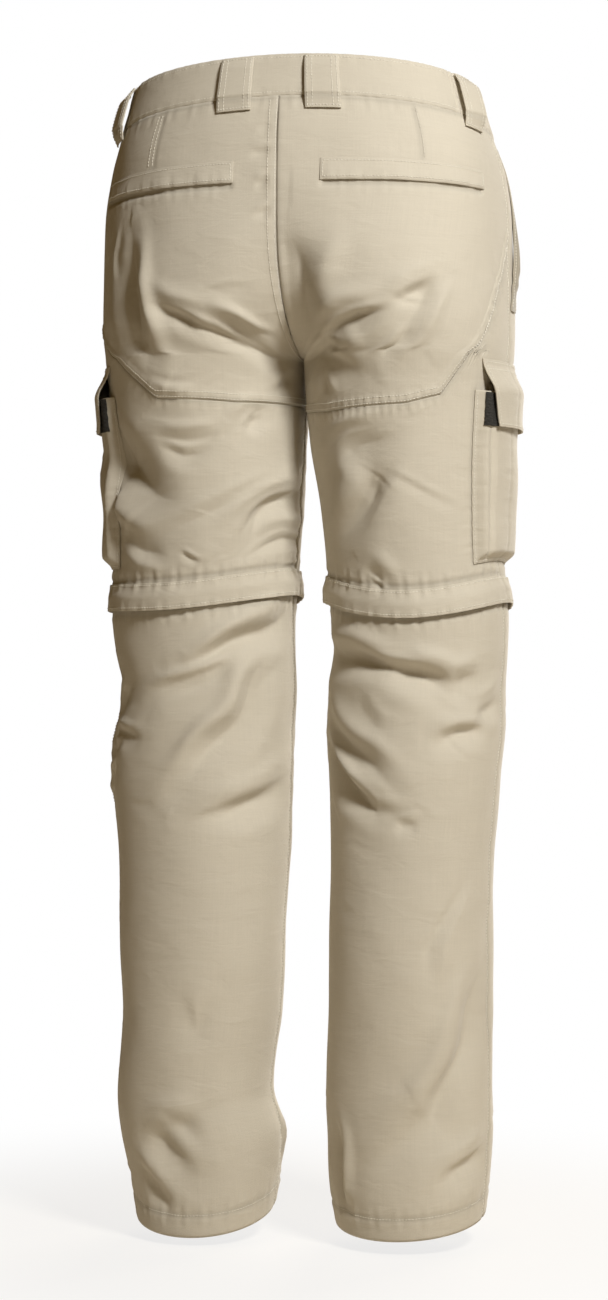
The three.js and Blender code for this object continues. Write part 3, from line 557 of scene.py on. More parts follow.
class Cloth:
    """The dressed cloth: the form with its folds, creases, seams and soft waves."""

    fold_hold = 45.0
    hem_hold = 30.0
    knee_hold = 34.0
    centre_hold = 9.0
    drift = 4.5
    end_rise = 0.42
    pocket_hold = 0.85
    trough_draw = 1.5
    ridge_ease = 0.6
    broad_depth = 0.85
    fine_depth = 0.14
    right_shift = 97.0
    seam_reach = 20.0

    def __init__(self, form: TrouserForm) -> None:
        """Set up the seams and the seeded waves on the form.

        Args:
            form: the smooth form under the cloth.
        """
        self.form = form
        self.warp_across = WaveField(11, 9, 60, 150)
        self.warp_up = WaveField(12, 9, 60, 150)
        self.broad = WaveField(13, 14, 70, 190)
        self.fine = WaveField(14, 22, 24, 60)
        self.seams = {half: self.make_seams(half) for half in Half}
        self.creases = {half: [row for row in CREASES if row[0] is half]
                        + scattered_creases(half) for half in Half}

    def make_seams(self, half: Half) -> list[Seam]:
        """List the seams of one half.

        Args:
            half: left or right half.

        Returns:
            The seams, from the centre back round to the centre front, then the crossing ones.
        """
        left = half is Half.LEFT
        dart = DART[half]
        return [
            Seam(Path(((0, BAND_FOOT), (0, FORK + 30), (0, FORK))), fell=0.5 if left else 0.0,
                 groove=0.3, groove_width=1.6, pucker=0.3, pucker_pitch=12.0),
            Seam(Path(((0, FORK), (0, HEM))), groove=1.0, pucker=0.5, pucker_pitch=15.0),
            Seam(Path(((SIDE_SEAM, BAND_FOOT), (SIDE_SEAM, HEM))), groove=0.9, pucker=0.4,
                 pucker_pitch=14.0, phase=1.0),
            Seam(Path(((FULL_TURN, BAND_FOOT), (FULL_TURN, FORK))), groove=1.0),
            Seam(Path(SEAT_SEAM[half]), fell=0.7, groove=0.35, groove_width=1.8,
                 pucker=0.4 if left else 0.8, pucker_pitch=10.0 if left else 7.0),
            Seam(Path(((WELT_INNER + 2, WELT_FOOT - 2), (WELT_OUTER - 2, WELT_FOOT - 2))),
                 groove=2.4, groove_width=2.2, pucker=0.3),
            Seam(Path(((dart, BAND_FOOT - 6), (dart + 3, WELT_TOP + 2))), groove=0.6,
                 groove_width=1.6, pucker=0.2),
            Seam(Path(((0, BAND_FOOT - 2), (FULL_TURN, BAND_FOOT - 2))), groove=0.6,
                 pucker=0.4, pucker_pitch=13.0, phase=2.0),
            Seam(Path(((-12, KNEE_BAND_TOP + 3), (FULL_TURN + 12, KNEE_BAND_TOP + 3))),
                 groove=0.8, pucker=0.8, pucker_pitch=12.0, phase=0.4),
            Seam(Path(((-12, KNEE_BAND_FOOT - 3), (FULL_TURN + 12, KNEE_BAND_FOOT - 3))),
                 groove=0.8, pucker=0.7, pucker_pitch=13.0, phase=1.4),
            Seam(Path(((-12, HEM + HEM_DEPTH), (FULL_TURN + 12, HEM + HEM_DEPTH))),
                 groove=0.7, fell=-0.5, fell_width=30.0, pucker=0.55, pucker_pitch=16.0),
            Seam(Path(((POUCH_BACK, POUCH_MOUTH), (POUCH_BACK, POUCH_FOOT),
                       (POUCH_FRONT, POUCH_FOOT), (POUCH_FRONT, POUCH_MOUTH))),
                 groove=0.7, pucker=0.4),
        ]

    def hold(self, height: np.ndarray) -> np.ndarray:
        """Compute how free the cloth is to fold: less by the waistband, the knee and the hem.

        Args:
            height: heights of the places.

        Returns:
            The freedom, from 0 to 1.
        """
        knee = 0.35 + 0.65 * smooth(np.abs(height - THIGH_FOOT), 0, self.knee_hold)
        return (smooth(BAND_FOOT - height, 0, self.fold_hold)
                * smooth(height - HEM, 0, self.hem_hold) * knee)

    def folds(self, half: Half, turn: np.ndarray, height: np.ndarray) -> np.ndarray:
        """Add up the large folds and the creases.

        Each is a trough along its path with the section of crease_section, less deep towards
        its ends. The half width of a large fold takes in its slopes too, so its section is
        drawn in, that of a ridge a little less. Above the fork all of them die out towards the
        centre seams, where the two halves join, and a cargo pocket stiffens the cloth under it.

        Args:
            half: left or right half.
            turn: turns of the places.
            height: heights of the places.

        Returns:
            The outward move in millimetres.
        """
        total = np.zeros(turn.shape)
        drifted = turn + self.drift / MM_PER_DEGREE * self.warp_across.at(turn, height)
        level = height + self.drift * self.warp_up.at(turn, height)
        folds = [row for row in FOLDS if row[0] is half]
        # Each table with the share of depth left at a path's ends and the reach in half widths
        for table, end_share, spread in ((folds, 0.12, 2.0), (self.creases[half], 0.05, 3.0)):
            for _, half_width, depth, places in table:
                path = Path(places)
                for lap in (-FULL_TURN, 0.0, FULL_TURN):
                    near = path.near(drifted + lap, level, abs(half_width) * spread)
                    near &= (height < FORK) | (lap == 0.0)
                    if not near.any():
                        continue
                    signed, _, share = path.measure(drifted[near] + lap, level[near])
                    upward = -1.0 if places[0][0] > places[-1][0] else 1.0
                    away = signed * upward / half_width
                    taper = end_share + (1 - end_share) * smooth(
                        np.minimum(share, 1 - share), 0, self.end_rise)
                    if table is folds:
                        away = self.trough_draw * away * (1.0 if depth < 0 else self.ridge_ease)
                    total[near] += depth * taper * self.crease_section(away)
        edge = np.minimum(np.abs(turn), np.abs(FULL_TURN - turn)) * MM_PER_DEGREE
        joined = 1 - smooth(edge, 0, self.centre_hold)
        free = 1 - joined * smooth(height, FORK, FORK + 20)
        across = smooth(np.minimum(turn - POUCH_BACK, POUCH_FRONT - turn), -3, 2)
        pocket = across * smooth(np.minimum(FLAP_TOP - height, height - POUCH_FOOT), -8, 4)
        return total * free * (1 - self.pocket_hold * pocket)

    @staticmethod
    def crease_section(away: np.ndarray) -> np.ndarray:
        """Compute the section across a crease.

        Above its line the trough climbs steeply to a ridge that laps over it; below it the
        trough runs out gently into a slight swell.

        Args:
            away: distance from the line in half widths, positive above it.

        Returns:
            The share of the depth, negative on the ridge and the swell.
        """
        steep = np.exp(-np.abs(away / 0.5) ** 1.5)
        gentle = np.exp(-np.abs(away / 1.05) ** 1.3)
        ridge = 0.6 * np.exp(-(((away - 1.2) / 0.5) ** 2))
        swell = 0.15 * np.exp(-(((away + 2.1) / 0.8) ** 2))
        return np.where(away > 0, steep, gentle) - ridge - swell

    def relief(self, half: Half, turn: np.ndarray,
               height: np.ndarray) -> tuple[np.ndarray, np.ndarray]:
        """Compute the whole outward move of the cloth and the mask of its seams.

        Args:
            half: left or right half.
            turn: turns of the places.
            height: heights of the places.

        Returns:
            The move in millimetres and how near a seam is, from 0 to 1.
        """
        shift = 0.0 if half is Half.LEFT else self.right_shift
        waves = (self.broad_depth * self.broad.at(turn + shift, height)
                 + self.fine_depth * self.fine.at(turn + shift, height))
        move = self.hold(height) * (self.folds(half, turn, height) + waves)
        mask = np.zeros(turn.shape)
        below = height <= BAND_FOOT
        for seam in self.seams[half]:
            for lap in (-FULL_TURN, 0.0):
                near = seam.path.near(turn + lap, height, self.seam_reach) & below
                near &= (height < FORK) | (lap == 0.0)
                if near.any():
                    seam_move, seam_mask = seam.relief(turn[near] + lap, height[near])
                    move[near] += seam_move
                    mask[near] = np.maximum(mask[near], seam_mask)
        return move, mask

    def place(self, half: Half, turn: np.ndarray, height: np.ndarray,
              lift: np.ndarray | float = 0.0) -> tuple[np.ndarray, np.ndarray, np.ndarray]:
        """Place points on the cloth or above it.

        Args:
            half: left or right half.
            turn: turns of the places.
            height: heights of the places.
            lift: distance outward from the cloth.

        Returns:
            Points in millimetres, outward directions, and the seam mask.
        """
        turn, height = np.broadcast_arrays(np.asarray(turn, float), np.asarray(height, float))
        outward = self.form.outward(half, turn, height)
        move, mask = self.relief(half, turn, height)
        reach = np.asarray(move + lift, float)[..., None]
        points = self.form.point(half, turn, height) + outward * reach
        gap = np.where(height < BAND_FOOT, CENTRE_GAP, 0.0)
        points[..., 0] = half.value * np.maximum(half.value * points[..., 0], gap)
        return points, outward, mask


@dataclass(frozen=True)
class WovenFinish:
    """A woven cloth: its colours, thread and sheen."""

    name: str
    colour: tuple[float, float, float]
    pitch: float = 0.00055
    roughness: float = 0.84
    sheen: float = 0.22
    rib: float = 0.0
    wrinkle: float = 0.45

    def material(self) -> bpy.types.Material:
        """Build the material around the shared weave group.

        Returns:
            The material.
        """
        material, nodes, links, shader = blank_material(self.name)
        weave = nodes.new("ShaderNodeGroup")
        weave.node_tree = weave_group()
        weave.inputs["Colour"].default_value = (*self.colour, 1)
        weave.inputs["Pitch"].default_value = self.pitch
        weave.inputs["Rib"].default_value = self.rib
        weave.inputs["Wrinkle"].default_value = self.wrinkle
        links.new(weave.outputs["Colour"], shader.inputs["Base Color"])
        links.new(weave.outputs["Normal"], shader.inputs["Normal"])
        shader.inputs["Roughness"].default_value = self.roughness
        shader.inputs["Sheen Weight"].default_value = self.sheen
        shader.inputs["Sheen Roughness"].default_value = 0.45
        return material


@dataclass(frozen=True)
class MouldedFinish:
    """A moulded or spun small part: plain colour with fine unevenness."""

    name: str
    colour: tuple[float, float, float]
    roughness: float = 0.45
    grain: float = 900.0
    bump: float = 0.25

    def material(self) -> bpy.types.Material:
        """Build the material with a noise for its colour and relief.

        Returns:
            The material.
        """
        material, nodes, links, shader = blank_material(self.name)
        place = nodes.new("ShaderNodeTexCoord")
        noise = nodes.new("ShaderNodeTexNoise")
        noise.inputs["Scale"].default_value = self.grain
        noise.inputs["Detail"].default_value = 4
        ramp = nodes.new("ShaderNodeMix")
        ramp.data_type = "RGBA"
        ramp.inputs["A"].default_value = (*(0.8 * c for c in self.colour), 1)
        ramp.inputs["B"].default_value = (*(min(1.15 * c, 1) for c in self.colour), 1)
        bump = nodes.new("ShaderNodeBump")
        bump.inputs["Strength"].default_value = self.bump
        bump.inputs["Distance"].default_value = 0.0002
        links.new(place.outputs["Object"], noise.inputs["Vector"])
        links.new(noise.outputs["Fac"], ramp.inputs["Factor"])
        links.new(ramp.outputs["Result"], shader.inputs["Base Color"])
        links.new(noise.outputs["Fac"], bump.inputs["Height"])
        links.new(bump.outputs["Normal"], shader.inputs["Normal"])
        shader.inputs["Roughness"].default_value = self.roughness
        return material


@dataclass(frozen=True)
class HookFinish:
    """Black hook tape: a dense field of small hooks."""

    name: str = "hook_tape"
    colour: tuple[float, float, float] = (0.016, 0.015, 0.013)

    def material(self) -> bpy.types.Material:
        """Build the material with cells for the hooks.

        Returns:
            The material.
        """
        material, nodes, links, shader = blank_material(self.name)
        uv = nodes.new("ShaderNodeUVMap")
        cells = nodes.new("ShaderNodeTexVoronoi")
        cells.inputs["Scale"].default_value = 700
        bump = nodes.new("ShaderNodeBump")
        bump.inputs["Strength"].default_value = 0.9
        bump.inputs["Distance"].default_value = 0.0008
        tone = nodes.new("ShaderNodeMix")
        tone.data_type = "RGBA"
        tone.inputs["A"].default_value = (*(2.2 * c for c in self.colour), 1)
        tone.inputs["B"].default_value = (*self.colour, 1)
        links.new(uv.outputs["UV"], cells.inputs["Vector"])
        links.new(cells.outputs["Distance"], bump.inputs["Height"])
        links.new(cells.outputs["Distance"], tone.inputs["Factor"])
        links.new(tone.outputs["Result"], shader.inputs["Base Color"])
        links.new(bump.outputs["Normal"], shader.inputs["Normal"])
        shader.inputs["Roughness"].default_value = 0.9
        return material


# Scales of the cloth's noises, per metre across, up and out: long slubs along either thread,
# soft clouds of tone, fine grain, and slanting wrinkles.
WARP_SLUB = (900, 22, 1)
WEFT_SLUB = (26, 1100, 1)
CLOUD = (9, 9, 1)
GRAIN = (1500, 1500, 1)
WRINKLES = (26, 26, 62)
WRINKLE_SLANT = (0.3, 0.5, 0.2)
WRINKLE_HEIGHT = 0.0022
THREAD_HEIGHT = 0.0002
RIB_PITCH = 0.0024


def blank_material(name: str) -> tuple:
    """Make a node material.

    Args:
        name: the material's name.

    Returns:
        The material, its nodes, its links and its Principled shader.
    """
    material = bpy.data.materials.new(name)
    material.use_nodes = True
    nodes = material.node_tree.nodes
    return material, nodes, material.node_tree.links, nodes["Principled BSDF"]


def weave_group() -> bpy.types.NodeTree:
    """Build, once, the group that gives woven cloth its colour and normal.

    The threads are the product of two sine waves along the piece's own UV, in metres. Slubs
    are noise drawn out along the warp and the weft, and soft wrinkles are broad noise. The
    seam attribute darkens the cloth a little near the seams: painted shade in their grooves,
    whose relief is in the geometry.

    Returns:
        The node group.
    """
    name = "woven_cloth"
    if name in bpy.data.node_groups:
        return bpy.data.node_groups[name]
    group = bpy.data.node_groups.new(name, "ShaderNodeTree")
    for socket, kind in (("Colour", "NodeSocketColor"), ("Pitch", "NodeSocketFloat"),
                         ("Rib", "NodeSocketFloat"), ("Wrinkle", "NodeSocketFloat")):
        group.interface.new_socket(socket, in_out="INPUT", socket_type=kind)
    group.interface.new_socket("Colour", in_out="OUTPUT", socket_type="NodeSocketColor")
    group.interface.new_socket("Normal", in_out="OUTPUT", socket_type="NodeSocketVector")
    nodes, links = group.nodes, group.links
    given = nodes.new("NodeGroupInput")
    out = nodes.new("NodeGroupOutput")

    def math_node(operation: str, *values: float | bpy.types.NodeSocket) -> bpy.types.NodeSocket:
        """Add a math node.

        Args:
            operation: the node's operation.
            values: numbers or sockets for its inputs, in order.

        Returns:
            Its output.
        """
        node = nodes.new("ShaderNodeMath")
        node.operation = operation
        for slot, value in enumerate(values):
            if isinstance(value, (int, float)):
                node.inputs[slot].default_value = value
            else:
                links.new(value, node.inputs[slot])
        return node.outputs[0]

    def noise(scale: tuple[float, float, float], detail: float) -> bpy.types.NodeSocket:
        """Add a noise over the scaled UV.

        Args:
            scale: scale across and up the flattened cloth, per metre.
            detail: detail of the noise.

        Returns:
            Its value.
        """
        mapping = nodes.new("ShaderNodeMapping")
        mapping.inputs["Scale"].default_value = scale
        texture = nodes.new("ShaderNodeTexNoise")
        texture.inputs["Scale"].default_value = 1.0
        texture.inputs["Detail"].default_value = detail
        links.new(uv.outputs["UV"], mapping.inputs["Vector"])
        links.new(mapping.outputs["Vector"], texture.inputs["Vector"])
        return texture.outputs["Fac"]

    uv = nodes.new("ShaderNodeUVMap")
    split = nodes.new("ShaderNodeSeparateXYZ")
    links.new(uv.outputs["UV"], split.inputs["Vector"])
    turns = math_node("DIVIDE", 2 * math.pi, given.outputs["Pitch"])
    warp = math_node("SINE", math_node("MULTIPLY", split.outputs["X"], turns))
    weft = math_node("SINE", math_node("MULTIPLY", split.outputs["Y"], turns))
    threads = math_node("MULTIPLY", warp, weft)
    rib = math_node("SINE", math_node("MULTIPLY", split.outputs["X"], 2 * math.pi / RIB_PITCH))
    ribbed = math_node("MULTIPLY", rib, given.outputs["Rib"])
    warp_slub = noise(WARP_SLUB, 3)
    weft_slub = noise(WEFT_SLUB, 3)
    cloud = noise(CLOUD, 4)
    grain = noise(GRAIN, 2)
    seam = nodes.new("ShaderNodeAttribute")
    seam.attribute_name = "seam"
    tone = math_node("MULTIPLY_ADD", warp_slub, 0.10, 0.80)
    tone = math_node("MULTIPLY_ADD", weft_slub, 0.10, tone)
    tone = math_node("MULTIPLY_ADD", cloud, 0.10, tone)
    tone = math_node("MULTIPLY_ADD", grain, 0.12, tone)
    tone = math_node("MULTIPLY_ADD", ribbed, 0.12, tone)
    # Near the seams the tone drops by up to 0.16: painted shade in the seam grooves
    tone = math_node("MULTIPLY_ADD", seam.outputs["Fac"], -0.16, tone)
    shade = nodes.new("ShaderNodeVectorMath")
    shade.operation = "SCALE"
    links.new(given.outputs["Colour"], shade.inputs[0])
    links.new(tone, shade.inputs["Scale"])
    links.new(shade.outputs["Vector"], out.inputs["Colour"])

    place = nodes.new("ShaderNodeTexCoord")
    slant = nodes.new("ShaderNodeMapping")
    slant.inputs["Rotation"].default_value = WRINKLE_SLANT
    slant.inputs["Scale"].default_value = WRINKLES
    broad = nodes.new("ShaderNodeTexNoise")
    broad.inputs["Scale"].default_value = 1.0
    broad.inputs["Detail"].default_value = 3
    broad.inputs["Roughness"].default_value = 0.5
    broad.inputs["Distortion"].default_value = 0.6
    links.new(place.outputs["Object"], slant.inputs["Vector"])
    links.new(slant.outputs["Vector"], broad.inputs["Vector"])
    soft = nodes.new("ShaderNodeBump")
    soft.inputs["Distance"].default_value = WRINKLE_HEIGHT
    links.new(given.outputs["Wrinkle"], soft.inputs["Strength"])
    links.new(broad.outputs["Fac"], soft.inputs["Height"])
    fibre = math_node("MULTIPLY_ADD", threads, 0.5, math_node("MULTIPLY", warp_slub, 1.2))
    fibre = math_node("MULTIPLY_ADD", weft_slub, 1.2, fibre)
    fibre = math_node("MULTIPLY_ADD", ribbed, 3.0, fibre)
    thread_bump = nodes.new("ShaderNodeBump")
    thread_bump.inputs["Strength"].default_value = 0.35
    thread_bump.inputs["Distance"].default_value = THREAD_HEIGHT
    links.new(fibre, thread_bump.inputs["Height"])
    links.new(soft.outputs["Normal"], thread_bump.inputs["Normal"])
    links.new(thread_bump.outputs["Normal"], out.inputs["Normal"])
    return group


KHAKI = (0.565, 0.515, 0.42)
CLOTH = WovenFinish("khaki_cloth", KHAKI)
BAND_CLOTH = WovenFinish("band_cloth", KHAKI, wrinkle=0.3)
FACING = WovenFinish("ribbed_facing", (0.36, 0.32, 0.25), rib=1.0, wrinkle=0.2)
ZIP_TAPE = WovenFinish("zip_tape", (0.30, 0.25, 0.18), pitch=0.0009, wrinkle=0.1, sheen=0.1)
HOOKS = HookFinish()
THREAD = MouldedFinish("sewing_thread", (0.80, 0.765, 0.67), roughness=0.6, grain=2600, bump=0.5)
TEETH = MouldedFinish("zip_teeth", (0.29, 0.24, 0.17), roughness=0.4)
BUTTON = MouldedFinish("button_plastic", (0.16, 0.125, 0.085), roughness=0.35)

# What the makers below take: a finish, a line of the cut, and a lift over the cloth
Finish = WovenFinish | MouldedFinish | HookFinish
Line = float | Callable[[np.ndarray], np.ndarray]
Lift = Callable[[np.ndarray, np.ndarray], np.ndarray]


class Wardrobe:
    """Keeps one material for each finish and turns arrays into pieces of the object."""

    def __init__(self) -> None:
        """Start with no materials made."""
        self.made: dict[str, bpy.types.Material] = {}

    def material(self, finish: Finish) -> bpy.types.Material:
        """Look up the finish's material, made at its first use.

        Args:
            finish: the finish.

        Returns:
            The material.
        """
        if finish.name not in self.made:
            self.made[finish.name] = finish.material()
        return self.made[finish.name]

    def finish_piece(self, mesh: bpy.types.Mesh, finish: Finish, slot: str,
                     nodes: tuple[str, ...] = ()) -> bpy.types.Object:
        """Make an object of the mesh that rides on the root body.

        Args:
            mesh: the finished mesh, named as the piece.
            finish: the finish it is dressed in.
            slot: the record's material slot; not used.
            nodes: the CAD nodes that it stands for.

        Returns:
            The object.
        """
        piece = bpy.data.objects.new(mesh.name, mesh)
        bpy.context.scene.collection.objects.link(piece)
        mesh.materials.append(self.material(finish))
        mesh.polygons.foreach_set("use_smooth", np.ones(len(mesh.polygons), bool))
        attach(piece, "root")
        if nodes:
            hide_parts(*nodes)
        return piece

    def sheet(self, name: str, points: np.ndarray, outward: np.ndarray, uv: np.ndarray,
              mask: np.ndarray, finish: Finish, slot: str, nodes: tuple[str, ...],
              thickness: float, held: Held = Held.HUNG, closed: bool = False,
              bevel: float = 0.0) -> bpy.types.Object:
        """Make a sheet of cloth from a grid of points on its outer side.

        Faces join neighbouring rows and columns of the grid and look outward. The thickness
        grows inward from them.

        Args:
            name: the piece's name.
            points: outer points in millimetres, by row and column.
            outward: outward directions at the points.
            uv: flattened places in millimetres, by row and column.
            mask: the seam mask at the points, which the cloth material darkens as painted shade.
            finish: the finish it is dressed in.
            slot: the record's material slot.
            nodes: the CAD nodes that it stands for.
            thickness: thickness in millimetres.
            held: how the cloth is held; not used.
            closed: whether the last column meets the first.
            bevel: radius of its rounded edges in millimetres.

        Returns:
            The object.
        """
        rows, columns = points.shape[:2]
        kept = columns - 1 if closed else columns
        row, column = np.mgrid[0:rows - 1, 0:columns - 1]
        corners = [(row, column), (row, column + 1), (row + 1, column + 1), (row + 1, column)]
        full = np.stack([r * columns + c for r, c in corners], -1).reshape(-1, 4)
        used = np.stack([r * kept + c % kept for r, c in corners], -1).reshape(-1, 4)
        across = points[:-1, 1:] - points[:-1, :-1]
        down = points[1:, :-1] - points[:-1, :-1]
        cross = np.cross(across, down)
        if (cross * outward[:-1, :-1]).sum() < 0:
            full, used = full[:, ::-1], used[:, ::-1]
        mesh = bpy.data.meshes.new(name)
        mesh.from_pydata((points[:, :kept] * METRE).reshape(-1, 3).tolist(), [], used.tolist())
        layer = mesh.uv_layers.new(name="UVMap")
        layer.uv.foreach_set("vector", (uv.reshape(-1, 2)[full] * METRE).astype(np.float32).ravel())
        # The seam mask goes to the cloth material, which darkens the cloth there as painted shade
        seam = mesh.attributes.new("seam", "FLOAT", "POINT")
        seam.data.foreach_set("value", mask[:, :kept].astype(np.float32).ravel())
        piece = self.finish_piece(mesh, finish, slot, nodes)
        solidify = piece.modifiers.new("Thickness", "SOLIDIFY")
        solidify.thickness = thickness * METRE
        solidify.offset = -1
        if bevel:
            edge = piece.modifiers.new("Rounded edges", "BEVEL")
            edge.width = bevel * METRE
            edge.segments = 2
            edge.limit_method = "ANGLE"
            edge.angle_limit = math.radians(60)
        area = float(np.linalg.norm(cross, axis=-1).sum()) * METRE**2
        width = float(np.linalg.norm(points[:, 1:] - points[:, :-1], axis=-1).sum(1).max()) * METRE
        length = float(np.linalg.norm(points[1:] - points[:-1], axis=-1).sum(0).max()) * METRE
        area = min(area, width * length)
        log.info("sheet %s: %.0f x %.0f mm, %.4f m2, %d faces", name, width / METRE,
                 length / METRE, area, len(used))
        return piece


class Stitching:
    """Sewing stitches: short rounded threads laid along lines on the cloth."""

    sides = 4
    pitch = 3.0
    stitch = 2.3
    radius = 0.3

    def __init__(self, wardrobe: Wardrobe) -> None:
        """Start with no lines."""
        self.wardrobe = wardrobe
        self.groups: dict[str, list[tuple[np.ndarray, np.ndarray]]] = {}

    def add(self, group: str, points: np.ndarray, outward: np.ndarray) -> None:
        """Add a sewn line to a group, as points in millimetres with outward directions."""
        self.groups.setdefault(group, []).append((points, outward))

    def along(self, points: np.ndarray, outward: np.ndarray) -> tuple[np.ndarray, ...]:
        """Divide a line into stitches of equal length.

        Args:
            points: points of the line.
            outward: outward directions at the points.

        Returns:
            Starts, ends and outward directions of the stitches.
        """
        steps = np.linalg.norm(np.diff(points, axis=0), axis=1)
        length = np.concatenate([[0.0], np.cumsum(steps)])
        starts = np.arange(0.4, length[-1] - self.stitch, self.pitch)

        def pick(at: np.ndarray, values: np.ndarray) -> np.ndarray:
            """Return the values at lengths along the line."""
            return np.stack([np.interp(at, length, values[:, axis]) for axis in range(3)], -1)

        return (pick(starts, points), pick(starts + self.stitch, points),
                unit(pick(starts + self.stitch / 2, outward)))

    def build(self) -> None:
        """Build each group as one mesh.

        A stitch has four rings of points round its axis. The end rings are smaller and sunk,
        so each stitch is a small arch.
        """
        for group, lines in self.groups.items():
            parts = [self.along(*line) for line in lines]
            start, end, outward = (np.concatenate(values) for values in zip(*parts))
            axis = unit(end - start)
            side = unit(np.cross(axis, outward))
            up = np.cross(side, axis)
            share = np.array([0.0, 0.22, 0.78, 1.0])
            size = np.array([0.55, 1.0, 1.0, 0.55]) * self.radius
            sink = np.array([-0.25, 0.12, 0.12, -0.25])
            angle = np.arange(self.sides) * 2 * math.pi / self.sides
            centre = (start[:, None] + (end - start)[:, None] * share[None, :, None]
                      + up[:, None] * sink[None, :, None])
            ring = (side[:, None, None] * np.cos(angle)[None, None, :, None]
                    + up[:, None, None] * np.sin(angle)[None, None, :, None])
            points = centre[:, :, None] + ring * size[None, :, None, None]
            count = len(start)
            per = 4 * self.sides
            base = (np.arange(count) * per)[:, None, None]
            level, spoke = np.mgrid[0:3, 0:self.sides]
            after = (spoke + 1) % self.sides
            quads = np.stack([level * self.sides + spoke, level * self.sides + after,
                              (level + 1) * self.sides + after,
                              (level + 1) * self.sides + spoke], -1).reshape(1, -1, 4)
            faces = (quads + base).reshape(-1, 4).tolist()
            caps = np.stack([np.arange(self.sides)[::-1],
                             3 * self.sides + np.arange(self.sides)])[None]
            faces += (caps + base).reshape(-1, self.sides).tolist()
            mesh = bpy.data.meshes.new(f"stitches_{group}")
            mesh.from_pydata((points.reshape(-1, 3) * METRE).tolist(), [], faces)
            self.wardrobe.finish_piece(mesh, THREAD, "cloth")
            log.info("stitches %s: %d", group, count)


def flat_places(turn: np.ndarray, height: np.ndarray) -> np.ndarray:
    """Return the places as millimetres across and up the flattened cloth."""
    return np.stack([turn * MM_PER_DEGREE, height], -1)


@dataclass
class Workshop:
    """What every sub-assembly works with."""

    cloth: Cloth
    wardrobe: Wardrobe
    stitching: Stitching

    def sew(self, group: str, half: Half, turn: np.ndarray, height: np.ndarray,
            lift: np.ndarray | float = 0.15) -> None:
        """Sew a line along places on the cloth.

        Args:
            group: name of the stitch group.
            half: left or right half.
            turn: turns of the places.
            height: heights of the places.
            lift: distance outward from the cloth.
        """
        turn, height = np.broadcast_arrays(np.asarray(turn, float), np.asarray(height, float))
        points, outward, _ = self.cloth.place(half, turn, height, lift)
        self.stitching.add(group, points, outward)


